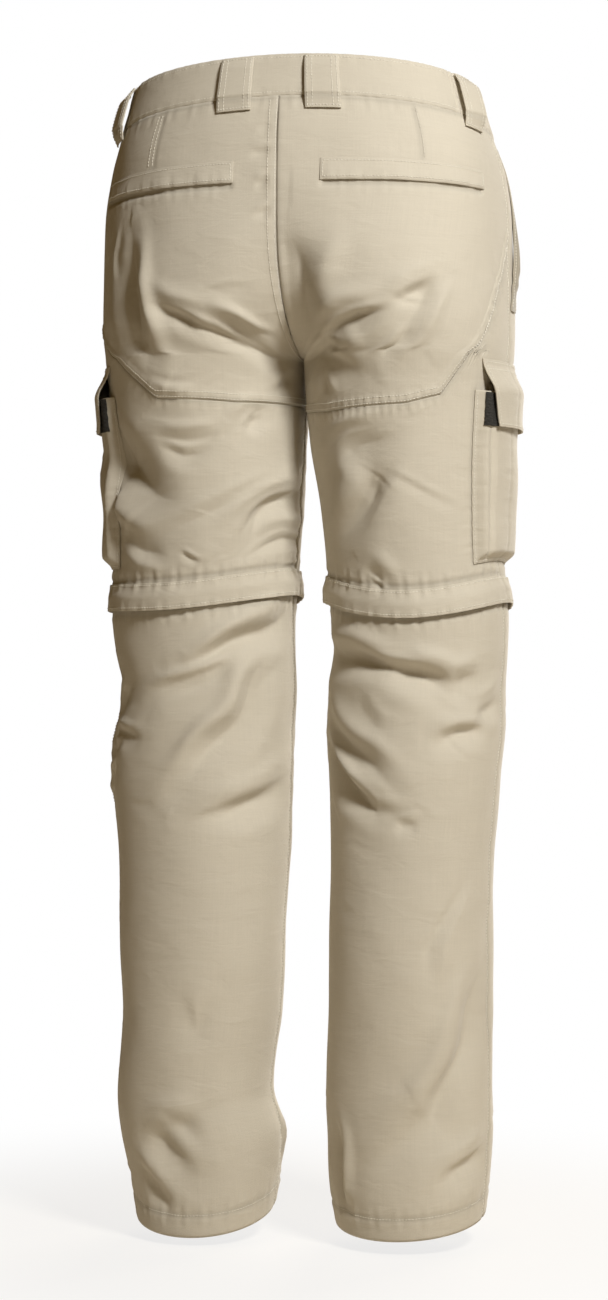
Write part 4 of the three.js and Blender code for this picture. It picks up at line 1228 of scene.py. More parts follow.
@dataclass
class Panels:
    """The ten panels of cloth, their turned hems and their sewn seams."""

    shop: Workshop
    thickness: float = 0.7
    back_columns: int = 128
    front_columns: int = 64
    row_pitch: float = 2.2
    front_row_pitch: float = 4.2
    edge_stitch: float = 1.8
    felled_rows: tuple[float, ...] = (0.9, 5.0)
    seat_rows: tuple[float, ...] = (2.2, 7.2)
    dart_rows: tuple[float, ...] = (1.4, 4.4)
    dart_lean: float = 3.0

    def seat_line(self, half: Half, turn: np.ndarray) -> np.ndarray:
        """Return the height of the seat seam at the turns."""
        turns, heights = np.array(SEAT_SEAM[half], float).T
        return np.interp(turn, turns, heights)

    def panel(self, name: str, half: Half, turns: tuple[float, float], top: Line, foot: Line,
              columns: int, pitch: float) -> None:
        """Build one panel between two lines of the cut.

        Each column of points runs down the cloth from the upper to the lower line at one turn.

        Args:
            name: name of the piece and of the CAD node that it stands for.
            half: left or right half.
            turns: first and last turn.
            top: upper line, a height or a function of the turns.
            foot: lower line, a height or a function of the turns.
            columns: number of columns.
            pitch: distance between rows in millimetres.
        """
        turn = np.linspace(*turns, columns)
        upper = top(turn) if callable(top) else np.full(columns, top)
        lower = foot(turn) if callable(foot) else np.full(columns, foot)
        rows = int(np.max(upper - lower) / pitch)
        share = np.linspace(0, 1, rows)[:, None]
        height = upper + (lower - upper) * share
        turn = np.broadcast_to(turn, height.shape)
        points, outward, mask = self.shop.cloth.place(half, turn, height)
        self.shop.wardrobe.sheet(f"{name}_cloth", points, outward, flat_places(turn, height), mask,
                                 CLOTH, "cloth", (name,), self.thickness)

    def build(self) -> None:
        """Build the panels of both halves."""
        for half in Half:
            tag = half.tag
            seat = partial(self.seat_line, half)
            back, front = (0.0, SIDE_SEAM), (SIDE_SEAM, FULL_TURN)
            self.panel(f"back_seat_{tag}", half, back, BAND_FOOT, seat, self.back_columns,
                       self.row_pitch)
            self.panel(f"back_thigh_{tag}", half, back, seat, THIGH_FOOT, self.back_columns,
                       self.row_pitch)
            self.panel(f"lower_back_{tag}", half, back, KNEE_BAND_FOOT + 1, HEM,
                       self.back_columns - 12, self.row_pitch + 0.6)
            self.panel(f"front_{tag}", half, front, BAND_FOOT, THIGH_FOOT, self.front_columns,
                       self.front_row_pitch)
            self.panel(f"lower_front_{tag}", half, front, KNEE_BAND_FOOT + 1, HEM,
                       self.front_columns, self.front_row_pitch)

    def dress(self) -> None:
        """Sew the seams, with two rows where the cloth is felled and two down the left dart."""
        sew = self.shop.sew
        for half in Half:
            tag = half.tag
            down = np.linspace(BAND_FOOT - 3, FORK - 4, 90)
            for across in self.felled_rows if half is Half.LEFT else ():
                sew(f"seat_{tag}", half, across, down)
            turn = np.linspace(1, SIDE_SEAM - 2, 160)
            for above in self.seat_rows:
                sew(f"seat_{tag}", half, turn, self.seat_line(half, turn) + above)
            leg = np.linspace(BAND_FOOT - 3, THIGH_FOOT + 4, 190)
            lower = np.linspace(KNEE_BAND_FOOT - 6, HEM + 3, 250)
            sew(f"seams_{tag}", half, SIDE_SEAM - self.edge_stitch, leg)
            sew(f"seams_{tag}", half, SIDE_SEAM - self.edge_stitch, lower)
            sew(f"seams_{tag}", half, self.edge_stitch,
                np.linspace(FORK - 6, THIGH_FOOT + 4, 90))
            sew(f"seams_{tag}", half, self.edge_stitch, lower)
            sew(f"seams_{tag}", half, np.linspace(0, FULL_TURN, 260), HEM + HEM_DEPTH)
            for row in self.dart_rows if half is Half.LEFT else self.dart_rows[:1]:
                first = DART[half] + row
                sew(f"seat_{tag}", half, np.linspace(first, first + self.dart_lean, 24),
                    np.linspace(BAND_FOOT - 4, WELT_TOP + 1, 24))


@dataclass
class Waistband:
    """The waistband: a back piece gathered by elastic at both sides and two front pieces."""

    shop: Workshop
    lift: float = 0.8
    thickness: float = 2.2
    gather_start: float = 110.0
    gather_end: float = 163.0
    gathers: int = 12
    gather_depth: float = 1.7
    rows: int = 20
    stitch_inset: float = 3.2
    stitch_lift: float = 0.1

    def gather(self, turn: np.ndarray, height: np.ndarray) -> np.ndarray:
        """Compute the ripples of the elasticated cloth.

        They are uneven upright waves between the first and last gather; drawn in at every
        node, and slanting a little with the height.

        Args:
            turn: turns of the places.
            height: heights of the places.

        Returns:
            The outward move in millimetres.
        """
        part = (turn - self.gather_start) / (self.gather_end - self.gather_start)
        lean = part + 0.010 * np.sin(height / 7.0) + 0.012 * np.sin(9.0 * part + 1.0)
        wave = np.abs(np.sin(math.pi * self.gathers * lean)) ** 0.7
        fade = smooth(part, 0.0, 0.07) * (1 - smooth(part, 0.93, 1.0))
        uneven = 0.75 + 0.25 * np.sin(23 * part + 0.4 + height / 14)
        return fade * self.gather_depth * (uneven * wave - 0.85)

    def surface(self, half: Half, turn: np.ndarray, height: np.ndarray,
                extra: float = 0.0) -> tuple[np.ndarray, ...]:
        """Place points on the band's outer side, with rounded top and foot.

        Args:
            half: left or right half.
            turn: turns of the places.
            height: heights of the places.
            extra: further distance outward in millimetres.

        Returns:
            Points, outward directions and the seam mask.
        """
        edge = np.minimum(BAND_TOP - height, height - BAND_FOOT)
        roll = -1.0 * (1 - smooth(edge, 0, 2.4)) - 0.35 * np.exp(-((edge - 3.2) / 1.2) ** 2)
        ripple = 0.28 * np.sin(turn * 0.9 + 2.0 * np.sin(turn * 0.21)) * (1 - smooth(edge, 0, 12))
        lift = self.lift + self.gather(turn, height) + roll + ripple + extra
        return self.shop.cloth.place(half, turn, height, lift)

    def strip(self, name: str, runs: list[tuple[Half, np.ndarray]]) -> None:
        """Build one band piece from runs of turns on the halves.

        Args:
            name: name of the CAD node that the piece stands for.
            runs: each half with its turns, in order along the band.
        """
        level = np.linspace(BAND_TOP, BAND_FOOT, self.rows)[:, None]
        level = BAND_FOOT + (BAND_TOP - BAND_FOOT) * smooth(level, BAND_FOOT, BAND_TOP)
        made = [self.surface(half, *np.broadcast_arrays(turns, level)) for half, turns in runs]
        points, outward, mask = (np.concatenate(values, axis=1) for values in zip(*made))
        along = np.concatenate([half.value * turns for half, turns in runs])
        uv = flat_places(*np.broadcast_arrays(along, level))
        self.shop.wardrobe.sheet(f"{name}_cloth", points, outward, uv, mask, BAND_CLOTH, "cloth",
                                 (name,), self.thickness, Held.STRETCHED, bevel=0.5)

    def build(self) -> None:
        """Build the three pieces."""
        plain = np.linspace(0, self.gather_start, 60)
        fine = np.linspace(self.gather_start, SIDE_SEAM, 110)
        side = np.concatenate([plain, fine[1:]])
        self.strip("waistband_back", [(Half.RIGHT, side[::-1]), (Half.LEFT, side[1:])])
        for half in Half:
            turns = np.linspace(SIDE_SEAM, FULL_TURN, 90)
            if half is Half.RIGHT:
                turns = turns[::-1]
            self.strip(f"waistband_front_{half.tag}", [(half, turns)])

    def dress(self) -> None:
        """Sew a line along the foot and one along the top of the band."""
        for half in Half:
            turn = np.linspace(0, FULL_TURN, 420)
            for height in (BAND_TOP - self.stitch_inset, BAND_FOOT + self.stitch_inset):
                points, outward, _ = self.surface(half, turn, np.full(turn.shape, height),
                                                  self.stitch_lift)
                self.shop.stitching.add("band", points, outward)


@dataclass
class BeltLoops:
    """Six belt loops that stand off the band, sewn down at both ends."""

    shop: Workshop
    band: Waistband
    width: float = 21.0
    seat: float = 0.9
    wall: float = 1.4
    top: float = 17.4
    foot: float = -30.4
    stitch_lift: float = 0.1
    places: tuple = (("centre", 16.0, 2.4), ("side", 118.0, 8.5), ("front", 232.0, 9.0))
    levels: tuple = ((17.4, 0.0), (15, 0.12), (13, 0.45), (8, 0.9), (0, 1.0), (-8, 1.0),
                     (-17, 0.95), (-23, 0.7), (-28, 0.15), (-30.4, 0.0))

    def surface(self, half: Half, turn: np.ndarray, height: np.ndarray, stand: float,
                extra: float = 0.0) -> tuple[np.ndarray, ...]:
        """Place points on a loop's outer side.

        The stand follows the table of levels, and the long edges are rolled in a little. A
        side or front loop stands off less at its back edge.

        Args:
            half: left or right half.
            turn: turns of the places.
            height: heights of the places.
            stand: how far the loop stands off the band in millimetres.
            extra: further distance outward.

        Returns:
            Points, outward directions and the seam mask.
        """
        levels, shares = np.array(self.levels[::-1]).T
        share = np.interp(height, levels, shares)
        first = turn.min()
        edge = np.minimum(turn - first, first + self.width - turn) * MM_PER_DEGREE
        roll = -0.45 * (1 - smooth(edge, 0, 1.6)) + 0.18 * smooth(edge, 1, 5)
        base = np.where(height > BAND_FOOT, self.band.lift, 0.0)
        if first > 90:
            stand = stand * (0.45 + 0.55 * (turn - first) / self.width)
        lift = base + self.seat + share * stand + self.wall + roll + extra
        _, outward, mask = self.shop.cloth.place(half, turn, height)
        smooth_points = self.shop.cloth.form.point(half, turn, height)
        return smooth_points + outward * lift[..., None], outward, mask

    def build(self) -> None:
        """Build the loops of both halves and sew their edges and ends."""
        for half in Half:
            for place, start, stand in self.places:
                turn, height = np.meshgrid(np.linspace(start, start + self.width, 16),
                                           np.linspace(self.top, self.foot, 44))
                points, outward, mask = self.surface(half, turn, height, stand)
                name = f"belt_loop_{place}_{half.tag}"
                self.shop.wardrobe.sheet(f"{name}_cloth", points, outward,
                                         flat_places(turn, height) + [0, 3000], mask, BAND_CLOTH,
                                         "cloth", (name,), self.wall, Held.STRETCHED, bevel=0.3)
                for offset in (1.6, 4.6, self.width - 4.6, self.width - 1.6):
                    self.sew(half, np.array([start, start + offset, start + self.width]),
                             np.linspace(self.top - 0.8, self.foot + 0.8, 40), stand)
                for level in (self.top - 1.8, self.foot + 2.0):
                    self.tack(half, start, level, stand)

    def sew(self, half: Half, turns: np.ndarray, height: np.ndarray, stand: float) -> None:
        """Sew a line down a loop.

        Args:
            half: left or right half.
            turns: the loop's first turn, the line's turn and the loop's last turn.
            height: heights of the line's places.
            stand: how far the loop stands off the band.
        """
        turn = np.repeat(turns[None], len(height), 0)
        points, outward, _ = self.surface(half, turn, np.repeat(height[:, None], 3, 1), stand,
                                          self.stitch_lift)
        self.shop.stitching.add("loops", points[:, 1], outward[:, 1])

    def tack(self, half: Half, start: float, level: float, stand: float) -> None:
        """Sew a bar tack across a loop's end.

        Args:
            half: left or right half.
            start: the loop's first turn.
            level: height of the tack.
            stand: how far the loop stands off the band.
        """
        turn = np.linspace(start, start + self.width, 14)
        points, outward, _ = self.surface(half, turn, np.full(14, level), stand,
                                          self.stitch_lift)
        self.shop.stitching.add("loops", points, outward)


@dataclass
class Patch:
    """A strip or pocket piece that lies on the cloth between two turns and two heights."""

    node: str
    half: Half
    turns: tuple[float, float]
    heights: tuple[float, float]
    lift: Lift
    finish: Finish
    slot: str = "cloth"
    columns: int = 60
    rows: int = 30
    thickness: float = 1.0
    bevel: float = 0.3
    closed: bool = False
    skew: tuple[float, float] = (0.0, 0.0)

    def surface(self, shop: Workshop, turn: np.ndarray, height: np.ndarray,
                extra: float = 0.0) -> tuple[np.ndarray, ...]:
        """Place points on the patch's outer side.

        The first edge is slanted: the skew gives how far its top and its foot are turned, and
        the slant dies out towards the last edge.

        Args:
            shop: the workshop.
            turn: turns of the places.
            height: heights of the places.
            extra: further distance outward in millimetres.

        Returns:
            Points, outward directions and the seam mask.
        """
        down = (self.heights[0] - height) / (self.heights[0] - self.heights[1])
        side = np.clip((self.turns[1] - turn) / (self.turns[1] - self.turns[0]), 0, 1) ** 3
        turned = turn + side * (self.skew[0] + (self.skew[1] - self.skew[0]) * down)
        lift = self.lift(turn, height) + extra
        return shop.cloth.place(self.half, turned, height, lift)

    def build(self, shop: Workshop) -> bpy.types.Object:
        """Build the patch as a sheet.

        Args:
            shop: the workshop.

        Returns:
            The sheet.
        """
        turn, height = np.meshgrid(np.linspace(*self.turns, self.columns),
                                   np.linspace(*self.heights, self.rows))
        points, outward, mask = self.surface(shop, turn, height)
        # The seam mask is cut to a third here, so the patch gets less painted seam shade
        return shop.wardrobe.sheet(f"{self.node}_cloth", points, outward,
                                   flat_places(turn, height) + [1700, 900], mask * 0.3,
                                   self.finish, self.slot, (self.node,), self.thickness,
                                   closed=self.closed, bevel=self.bevel)

    def sew(self, shop: Workshop, group: str, turn: np.ndarray, height: np.ndarray) -> None:
        """Sew a line on the patch.

        Args:
            shop: the workshop.
            group: name of the stitch group.
            turn: turns of the line's places, or one for all.
            height: heights of the line's places, or one for all.
        """
        turn, height = np.broadcast_arrays(np.asarray(turn, float), np.asarray(height, float))
        points, outward, _ = self.surface(shop, turn, height, 0.1)
        shop.stitching.add(group, points, outward)


@dataclass
class BackPockets:
    """The welt strip over each back pocket, standing off along its lower edge."""

    shop: Workshop
    stand: float = 1.0
    edge_stitch: float = 1.4
    top_stitch: float = 2.0
    foot_stitch: float = 2.4

    def build(self) -> None:
        """Build and sew both welts."""
        for half in Half:
            def lift(turn: np.ndarray, height: np.ndarray) -> np.ndarray:
                """Compute the welt's lift, more towards its lower edge and with soft waves.

                Args:
                    turn: turns of the places.
                    height: heights of the places.

                Returns:
                    The lift in millimetres.
                """
                down = smooth(WELT_TOP - height, 0, WELT_TOP - WELT_FOOT)
                wave = 0.35 * np.sin(turn * 0.19 + 1.1) + 0.2 * np.sin(turn * 0.47)
                ends = smooth(np.minimum(turn - WELT_INNER, WELT_OUTER - turn), 0, 6)
                return 0.75 + (0.1 + (self.stand + wave) * down) * (0.35 + 0.65 * ends)

            welt = Patch(f"back_pocket_welt_{half.tag}", half, (WELT_INNER, WELT_OUTER),
                         (WELT_TOP, WELT_FOOT), lift, CLOTH, columns=90, rows=12,
                         thickness=0.6, bevel=0.15)
            welt.build(self.shop)
            first, last = WELT_INNER + self.edge_stitch, WELT_OUTER - self.edge_stitch
            top, foot = WELT_TOP - self.top_stitch, WELT_FOOT + self.foot_stitch
            for row in (top, foot):
                welt.sew(self.shop, "pockets", np.linspace(first, last, 120), row)
            for end in (first, last):
                welt.sew(self.shop, "pockets", end, np.linspace(top, foot, 10))


@dataclass
class CargoPockets:
    """The cargo pockets: a bellowed pouch, a patch of hook tape and a flap over both."""

    shop: Workshop
    pouch_stand: float = 8.2
    pouch_sag: float = 1.0
    flap_stand: float = 12.8
    edge: float = 9.0
    pleat_inset: float = 12.5
    pleat_depth: float = 3.2
    pleat_width: float = 3.0
    tape_lift: float = 1.9
    edge_stitch: float = 1.3
    foot_stitch: float = 2.2
    mouth_hem: float = 16.0
    flap_edge_stitch: float = 1.8
    flap_foot_stitch: float = 2.6
    flap_top_rows: tuple[float, ...] = (2.2, 8.0)

    def pouch_lift(self, turn: np.ndarray, height: np.ndarray) -> np.ndarray:
        """Compute the pouch's lift.

        It rises from its sewn back, foot and front edges within a short way, then stands off
        evenly with a slight sag; a pleat runs beside the back and front edge.

        Args:
            turn: turns of the places.
            height: heights of the places.

        Returns:
            The lift in millimetres.
        """
        side = np.minimum(turn - POUCH_BACK, POUCH_FRONT - turn) * MM_PER_DEGREE
        foot = height - POUCH_FOOT
        near = np.minimum(side, foot * 0.8)
        share = (height - POUCH_FOOT) / (POUCH_MOUTH - POUCH_FOOT)
        sag = self.pouch_sag * np.sin(math.pi * np.clip(share, 0, 1))
        line = self.pleat_inset + 3 * np.sin(share * 3.1)
        pleat = -self.pleat_depth * np.exp(-(((side - line) / self.pleat_width) ** 2))
        waves = 0.5 * np.sin(turn * 0.13 + height * 0.045) + 0.4 * np.sin(height * 0.11 + 1)
        inside = smooth(near, 1.0, self.edge)
        return 1.3 + (self.pouch_stand + sag + pleat + waves) * inside

    def flap_lift(self, turn: np.ndarray, height: np.ndarray) -> np.ndarray:
        """Compute the flap's lift: sewn along its top, then standing off over the pouch.

        Args:
            turn: turns of the places.
            height: heights of the places.

        Returns:
            The lift in millimetres.
        """
        down = smooth(FLAP_TOP - height, 0, FLAP_TOP - POUCH_MOUTH)
        curl = 0.8 * smooth(FLAP_FOOT + 10 - height, 0, 10)
        return 1.4 + (self.flap_stand + curl + 0.5 * np.sin(turn * 0.16)) * down

    def build(self) -> None:
        """Build and sew the pockets of both halves."""
        for half in Half:
            tag = half.tag
            pouch = Patch(f"cargo_pouch_{tag}", half, (POUCH_BACK, POUCH_FRONT),
                          (POUCH_MOUTH, POUCH_FOOT), self.pouch_lift, CLOTH, columns=84, rows=80)
            pouch.build(self.shop)
            tape = Patch(f"cargo_tape_{tag}", half, (POUCH_BACK + 3.5, PATCH_FRONT),
                         (POUCH_MOUTH - 1, FLAP_FOOT),
                         lambda t, h: self.pouch_lift(t, h) + self.tape_lift, HOOKS,
                         "hook_tape", columns=24, rows=26, thickness=1.2)
            tape.build(self.shop)
            flap = Patch(f"cargo_flap_{tag}", half, (FLAP_BACK, FLAP_FRONT),
                         (FLAP_TOP, FLAP_FOOT), self.flap_lift, CLOTH, columns=70, rows=34,
                         thickness=1.4, skew=(-6.0, 2.5))
            flap.build(self.shop)
            first, last = POUCH_BACK + self.edge_stitch, POUCH_FRONT - self.edge_stitch
            foot = POUCH_FOOT + self.foot_stitch
            for end in (first, last):
                pouch.sew(self.shop, "pockets", end, np.linspace(POUCH_MOUTH - 2, foot, 70))
            turn = np.linspace(first, last, 100)
            pouch.sew(self.shop, "pockets", turn, foot)
            pouch.sew(self.shop, "pockets", turn[12:-12], POUCH_MOUTH - self.mouth_hem)
            first, last = FLAP_BACK + self.flap_edge_stitch, FLAP_FRONT - self.flap_edge_stitch
            rows = [FLAP_TOP - row for row in self.flap_top_rows]
            rows.append(FLAP_FOOT + self.flap_foot_stitch)
            for row in rows:
                flap.sew(self.shop, "pockets", np.linspace(first, last, 90), row)
            for end in (first, last):
                flap.sew(self.shop, "pockets", end, np.linspace(rows[0], rows[-1], 40))


@dataclass
class Knees:
    """The knee zips with their teeth, and the bands that hang over them."""

    shop: Workshop
    stand: float = 3.4
    tooth_pitch: float = 3.0

    def build(self) -> None:
        """Build zip, teeth and band of both legs."""
        for half in Half:
            tape = Patch(f"knee_zip_{half.tag}", half, (0.0, FULL_TURN),
                         (THIGH_FOOT, KNEE_BAND_FOOT), lambda t, h: np.full(t.shape, -0.1),
                         ZIP_TAPE, "zip", columns=180, rows=8, thickness=0.8, closed=True)
            tape.build(self.shop)
            self.teeth(half, (THIGH_FOOT + KNEE_BAND_FOOT) / 2)

            def lift(turn: np.ndarray, height: np.ndarray) -> np.ndarray:
                """Compute the band's lift: sewn along its top, rippled, free along its foot.

                Args:
                    turn: turns of the places.
                    height: heights of the places.

                Returns:
                    The lift in millimetres.
                """
                down = smooth(KNEE_BAND_TOP - height, 0, 14)
                ripple = 0.5 * np.sin(turn * 0.47) + 0.3 * np.sin(turn * 0.83 + 1)
                waves = 0.7 * np.sin(turn * 0.061 + 0.5) + 0.4 * np.sin(turn * 0.149)
                return 1.5 + self.stand * down + ripple * (1 - down) * 0.7 + waves * down

            band = Patch(f"knee_band_{half.tag}", half, (0.0, FULL_TURN),
                         (KNEE_BAND_TOP, KNEE_BAND_FOOT), lift, CLOTH, columns=260, rows=16,
                         thickness=1.1, closed=True)
            band.build(self.shop)
            turn = np.linspace(0, FULL_TURN, 320)
            band.sew(self.shop, "knees", turn, KNEE_BAND_TOP - 2)
            band.sew(self.shop, "knees", turn, KNEE_BAND_FOOT + 3)

    def teeth(self, half: Half, level: float) -> None:
        """Build the zip's teeth as small blocks, set upper and lower in turn.

        Each block has eight corners at half sizes along, up and out from its middle.

        Args:
            half: left or right half.
            level: height of the zip's middle line.
        """
        count = int(CLOTH_PER_TURN / self.tooth_pitch)
        turn = np.arange(count) * FULL_TURN / count
        points, outward, _ = self.shop.cloth.place(half, turn, level, 0.5)
        along = unit(np.roll(points, -1, axis=0) - np.roll(points, 1, axis=0))
        up = unit(np.cross(outward, along))
        points = points + up * np.where(np.arange(count) % 2, 0.9, -0.9)[:, None]
        corner = np.array([[x, y, z] for x in (-1, 1) for y in (-1, 1) for z in (-1, 1)])
        size = corner * np.array([1.15, 1.7, 0.7])
        made = (points[:, None] + size[None, :, :1] * along[:, None]
                + size[None, :, 1:2] * up[:, None] + size[None, :, 2:] * outward[:, None])
        sides = np.array([[0, 1, 3, 2], [4, 6, 7, 5], [0, 4, 5, 1], [2, 3, 7, 6],
                          [0, 2, 6, 4], [1, 5, 7, 3]])
        handed = np.linalg.det(np.stack([along[0], up[0], outward[0]]))
        if handed < 0:
            sides = sides[:, ::-1]
        faces = (sides[None] + (np.arange(count) * 8)[:, None, None]).reshape(-1, 4)
        mesh = bpy.data.meshes.new(f"zip_teeth_{half.tag}")
        mesh.from_pydata((made.reshape(-1, 3) * METRE).tolist(), [], faces.tolist())
        self.shop.wardrobe.finish_piece(mesh, TEETH, "zip")
        log.info("zip teeth %s: %d", half.tag, count)


@dataclass
class FrontPockets:
    """The slanted ribbed facing of each front pocket, swelling out low down."""

    shop: Workshop
    width: float = 20.0
    top: tuple[float, float] = (214.0, -24.0)
    foot: tuple[float, float] = (181.0, -186.0)
    swell: float = 5.0
    flat_length: float = 170.0

    def build(self) -> None:
        """Build and sew both facings on a slanted grid.

        The grid runs straight from the top to the foot place and is as wide as the facing.
        """
        for half in Half:
            share, down = np.meshgrid(np.linspace(0, 1, 14), np.linspace(0, 1, 70))
            points, outward, mask, uv = self.surface(half, share, down)
            name = f"front_pocket_facing_{half.tag}"
            self.shop.wardrobe.sheet(f"{name}_cloth", points, outward, uv, mask, FACING,
                                     "pocket_facing", (name,), 1.2, bevel=0.3)
            for at in (0.1, 0.9):
                down = np.linspace(0.01, 0.99, 90)
                points, outward, _, _ = self.surface(half, np.full(90, at), down, 0.1)
                self.shop.stitching.add("pockets", points, outward)

    def surface(self, half: Half, share: np.ndarray, down: np.ndarray,
                extra: float = 0.0) -> tuple[np.ndarray, ...]:
        """Place points on the facing.

        It lies flat along both edges and swells out between them towards its foot.

        Args:
            half: left or right half.
            share: share of the width, 0 at the edge by the side seam.
            down: share of the length, 0 at the top.
            extra: further distance outward.

        Returns:
            Points, outward directions, seam mask and flattened places.
        """
        turn = (self.top[0] + (self.foot[0] - self.top[0]) * down
                + self.width / MM_PER_DEGREE * (share - 0.5))
        height = self.top[1] + (self.foot[1] - self.top[1]) * down
        arch = np.sin(math.pi * down**2) ** 2 * np.sin(math.pi * np.clip(share, 0, 1))
        lift = 1.6 + self.swell * arch + extra
        points, outward, mask = self.shop.cloth.place(half, turn, height, lift)
        uv = np.stack([share * self.width, self.flat_length * (1 - down)], -1)
        return points, outward, mask * 0.3, uv


@dataclass
class Fly:
    """The stitched fly strip on the left front and the waist button above it."""

    shop: Workshop
    band: Waistband
    edge: float = 359.0
    width: float = 26.0
    foot: float = -178.0
    button_turn: float = 347.0
    lift: float = 2.2
    flat_width: float = 36.0
    flat_length: float = 160.0

    def surface(self, share: np.ndarray, down: np.ndarray,
                extra: float = 0.0) -> tuple[np.ndarray, ...]:
        """Place points on the strip, whose free edge curves in below.

        Args:
            share: share of the width, 0 at the centre front.
            down: share of the length, 0 at the top.
            extra: further distance outward.

        Returns:
            Points, outward directions and the seam mask.
        """
        turn = self.edge - self.width * share * np.sqrt(1 - 0.85 * down**3)
        height = BAND_FOOT - 1 + (self.foot - BAND_FOOT + 1) * down
        return self.shop.cloth.place(Half.LEFT, turn, height, self.lift + extra)

    def build(self) -> None:
        """Build and sew the strip and turn the button."""
        share, down = np.meshgrid(np.linspace(1, 0, 20), np.linspace(0, 1, 66))
        points, outward, mask = self.surface(share, down)
        uv = np.stack([share * self.flat_width, self.flat_length * (1 - down)], -1)
        self.shop.wardrobe.sheet("fly_placket_cloth", points, outward, uv, mask * 0.3, CLOTH,
                                 "cloth", ("fly_placket",), 1.4, bevel=0.3)
        down = np.linspace(0.01, 0.98, 90)
        for at in (0.94, 0.8, 0.06):
            points, outward, _ = self.surface(np.full(90, at), down, 0.1)
            self.shop.stitching.add("fly", points, outward)
        self.button()

    def button(self) -> None:
        """Turn the button: a profile swept round its axis, with a raised rim and a dish.

        Each ring of the sweep has one radius and one height from the profile; the face and
        the back close at the middle.
        """
        profile = np.array([[0.01, 1.6], [4.2, 1.5], [5.4, 1.75], [6.3, 2.6], [7.4, 2.95],
                            [8.2, 2.6], [8.5, 1.8], [8.4, 0.7], [7.8, 0.1], [0.01, 0.0]])
        turn = np.array([self.button_turn])
        points, outward, _ = self.band.surface(Half.LEFT, turn, np.zeros(1), 0.9)
        out = outward[0]
        side = unit(np.cross(np.array([0.0, 0.0, 1.0]), out))
        up = np.cross(out, side)
        angle = np.linspace(0, 2 * math.pi, 49)[:-1]
        ring = side * np.cos(angle)[:, None] + up * np.sin(angle)[:, None]
        made = points[0] + profile[:, :1, None] * ring[None] + profile[:, 1:, None] * out
        rows, count = made.shape[:2]
        row, spoke = np.mgrid[0:rows - 1, 0:count]
        after = (spoke + 1) % count
        faces = np.stack([row * count + spoke, (row + 1) * count + spoke,
                          (row + 1) * count + after, row * count + after], -1).reshape(-1, 4)
        last = (rows - 1) * count
        poles = [list(range(count)), list(range(last, last + count))[::-1]]
        mesh = bpy.data.meshes.new("waist_button_moulded")
        mesh.from_pydata((made.reshape(-1, 3) * METRE).tolist(), [], faces.tolist() + poles)
        self.shop.wardrobe.finish_piece(mesh, BUTTON, "button", ("waist_button",))
        log.info("button: %d faces", len(faces) + len(poles))
        for step in range(2):
            cross = np.linspace(-2.2, 2.2, 6)[:, None]
            shift = (side if step else up) * 1.3
            line = points[0] + out * 1.75 + cross * (up if step else side) + shift
            self.shop.stitching.add("fly", line, np.repeat(out[None], 6, 0))


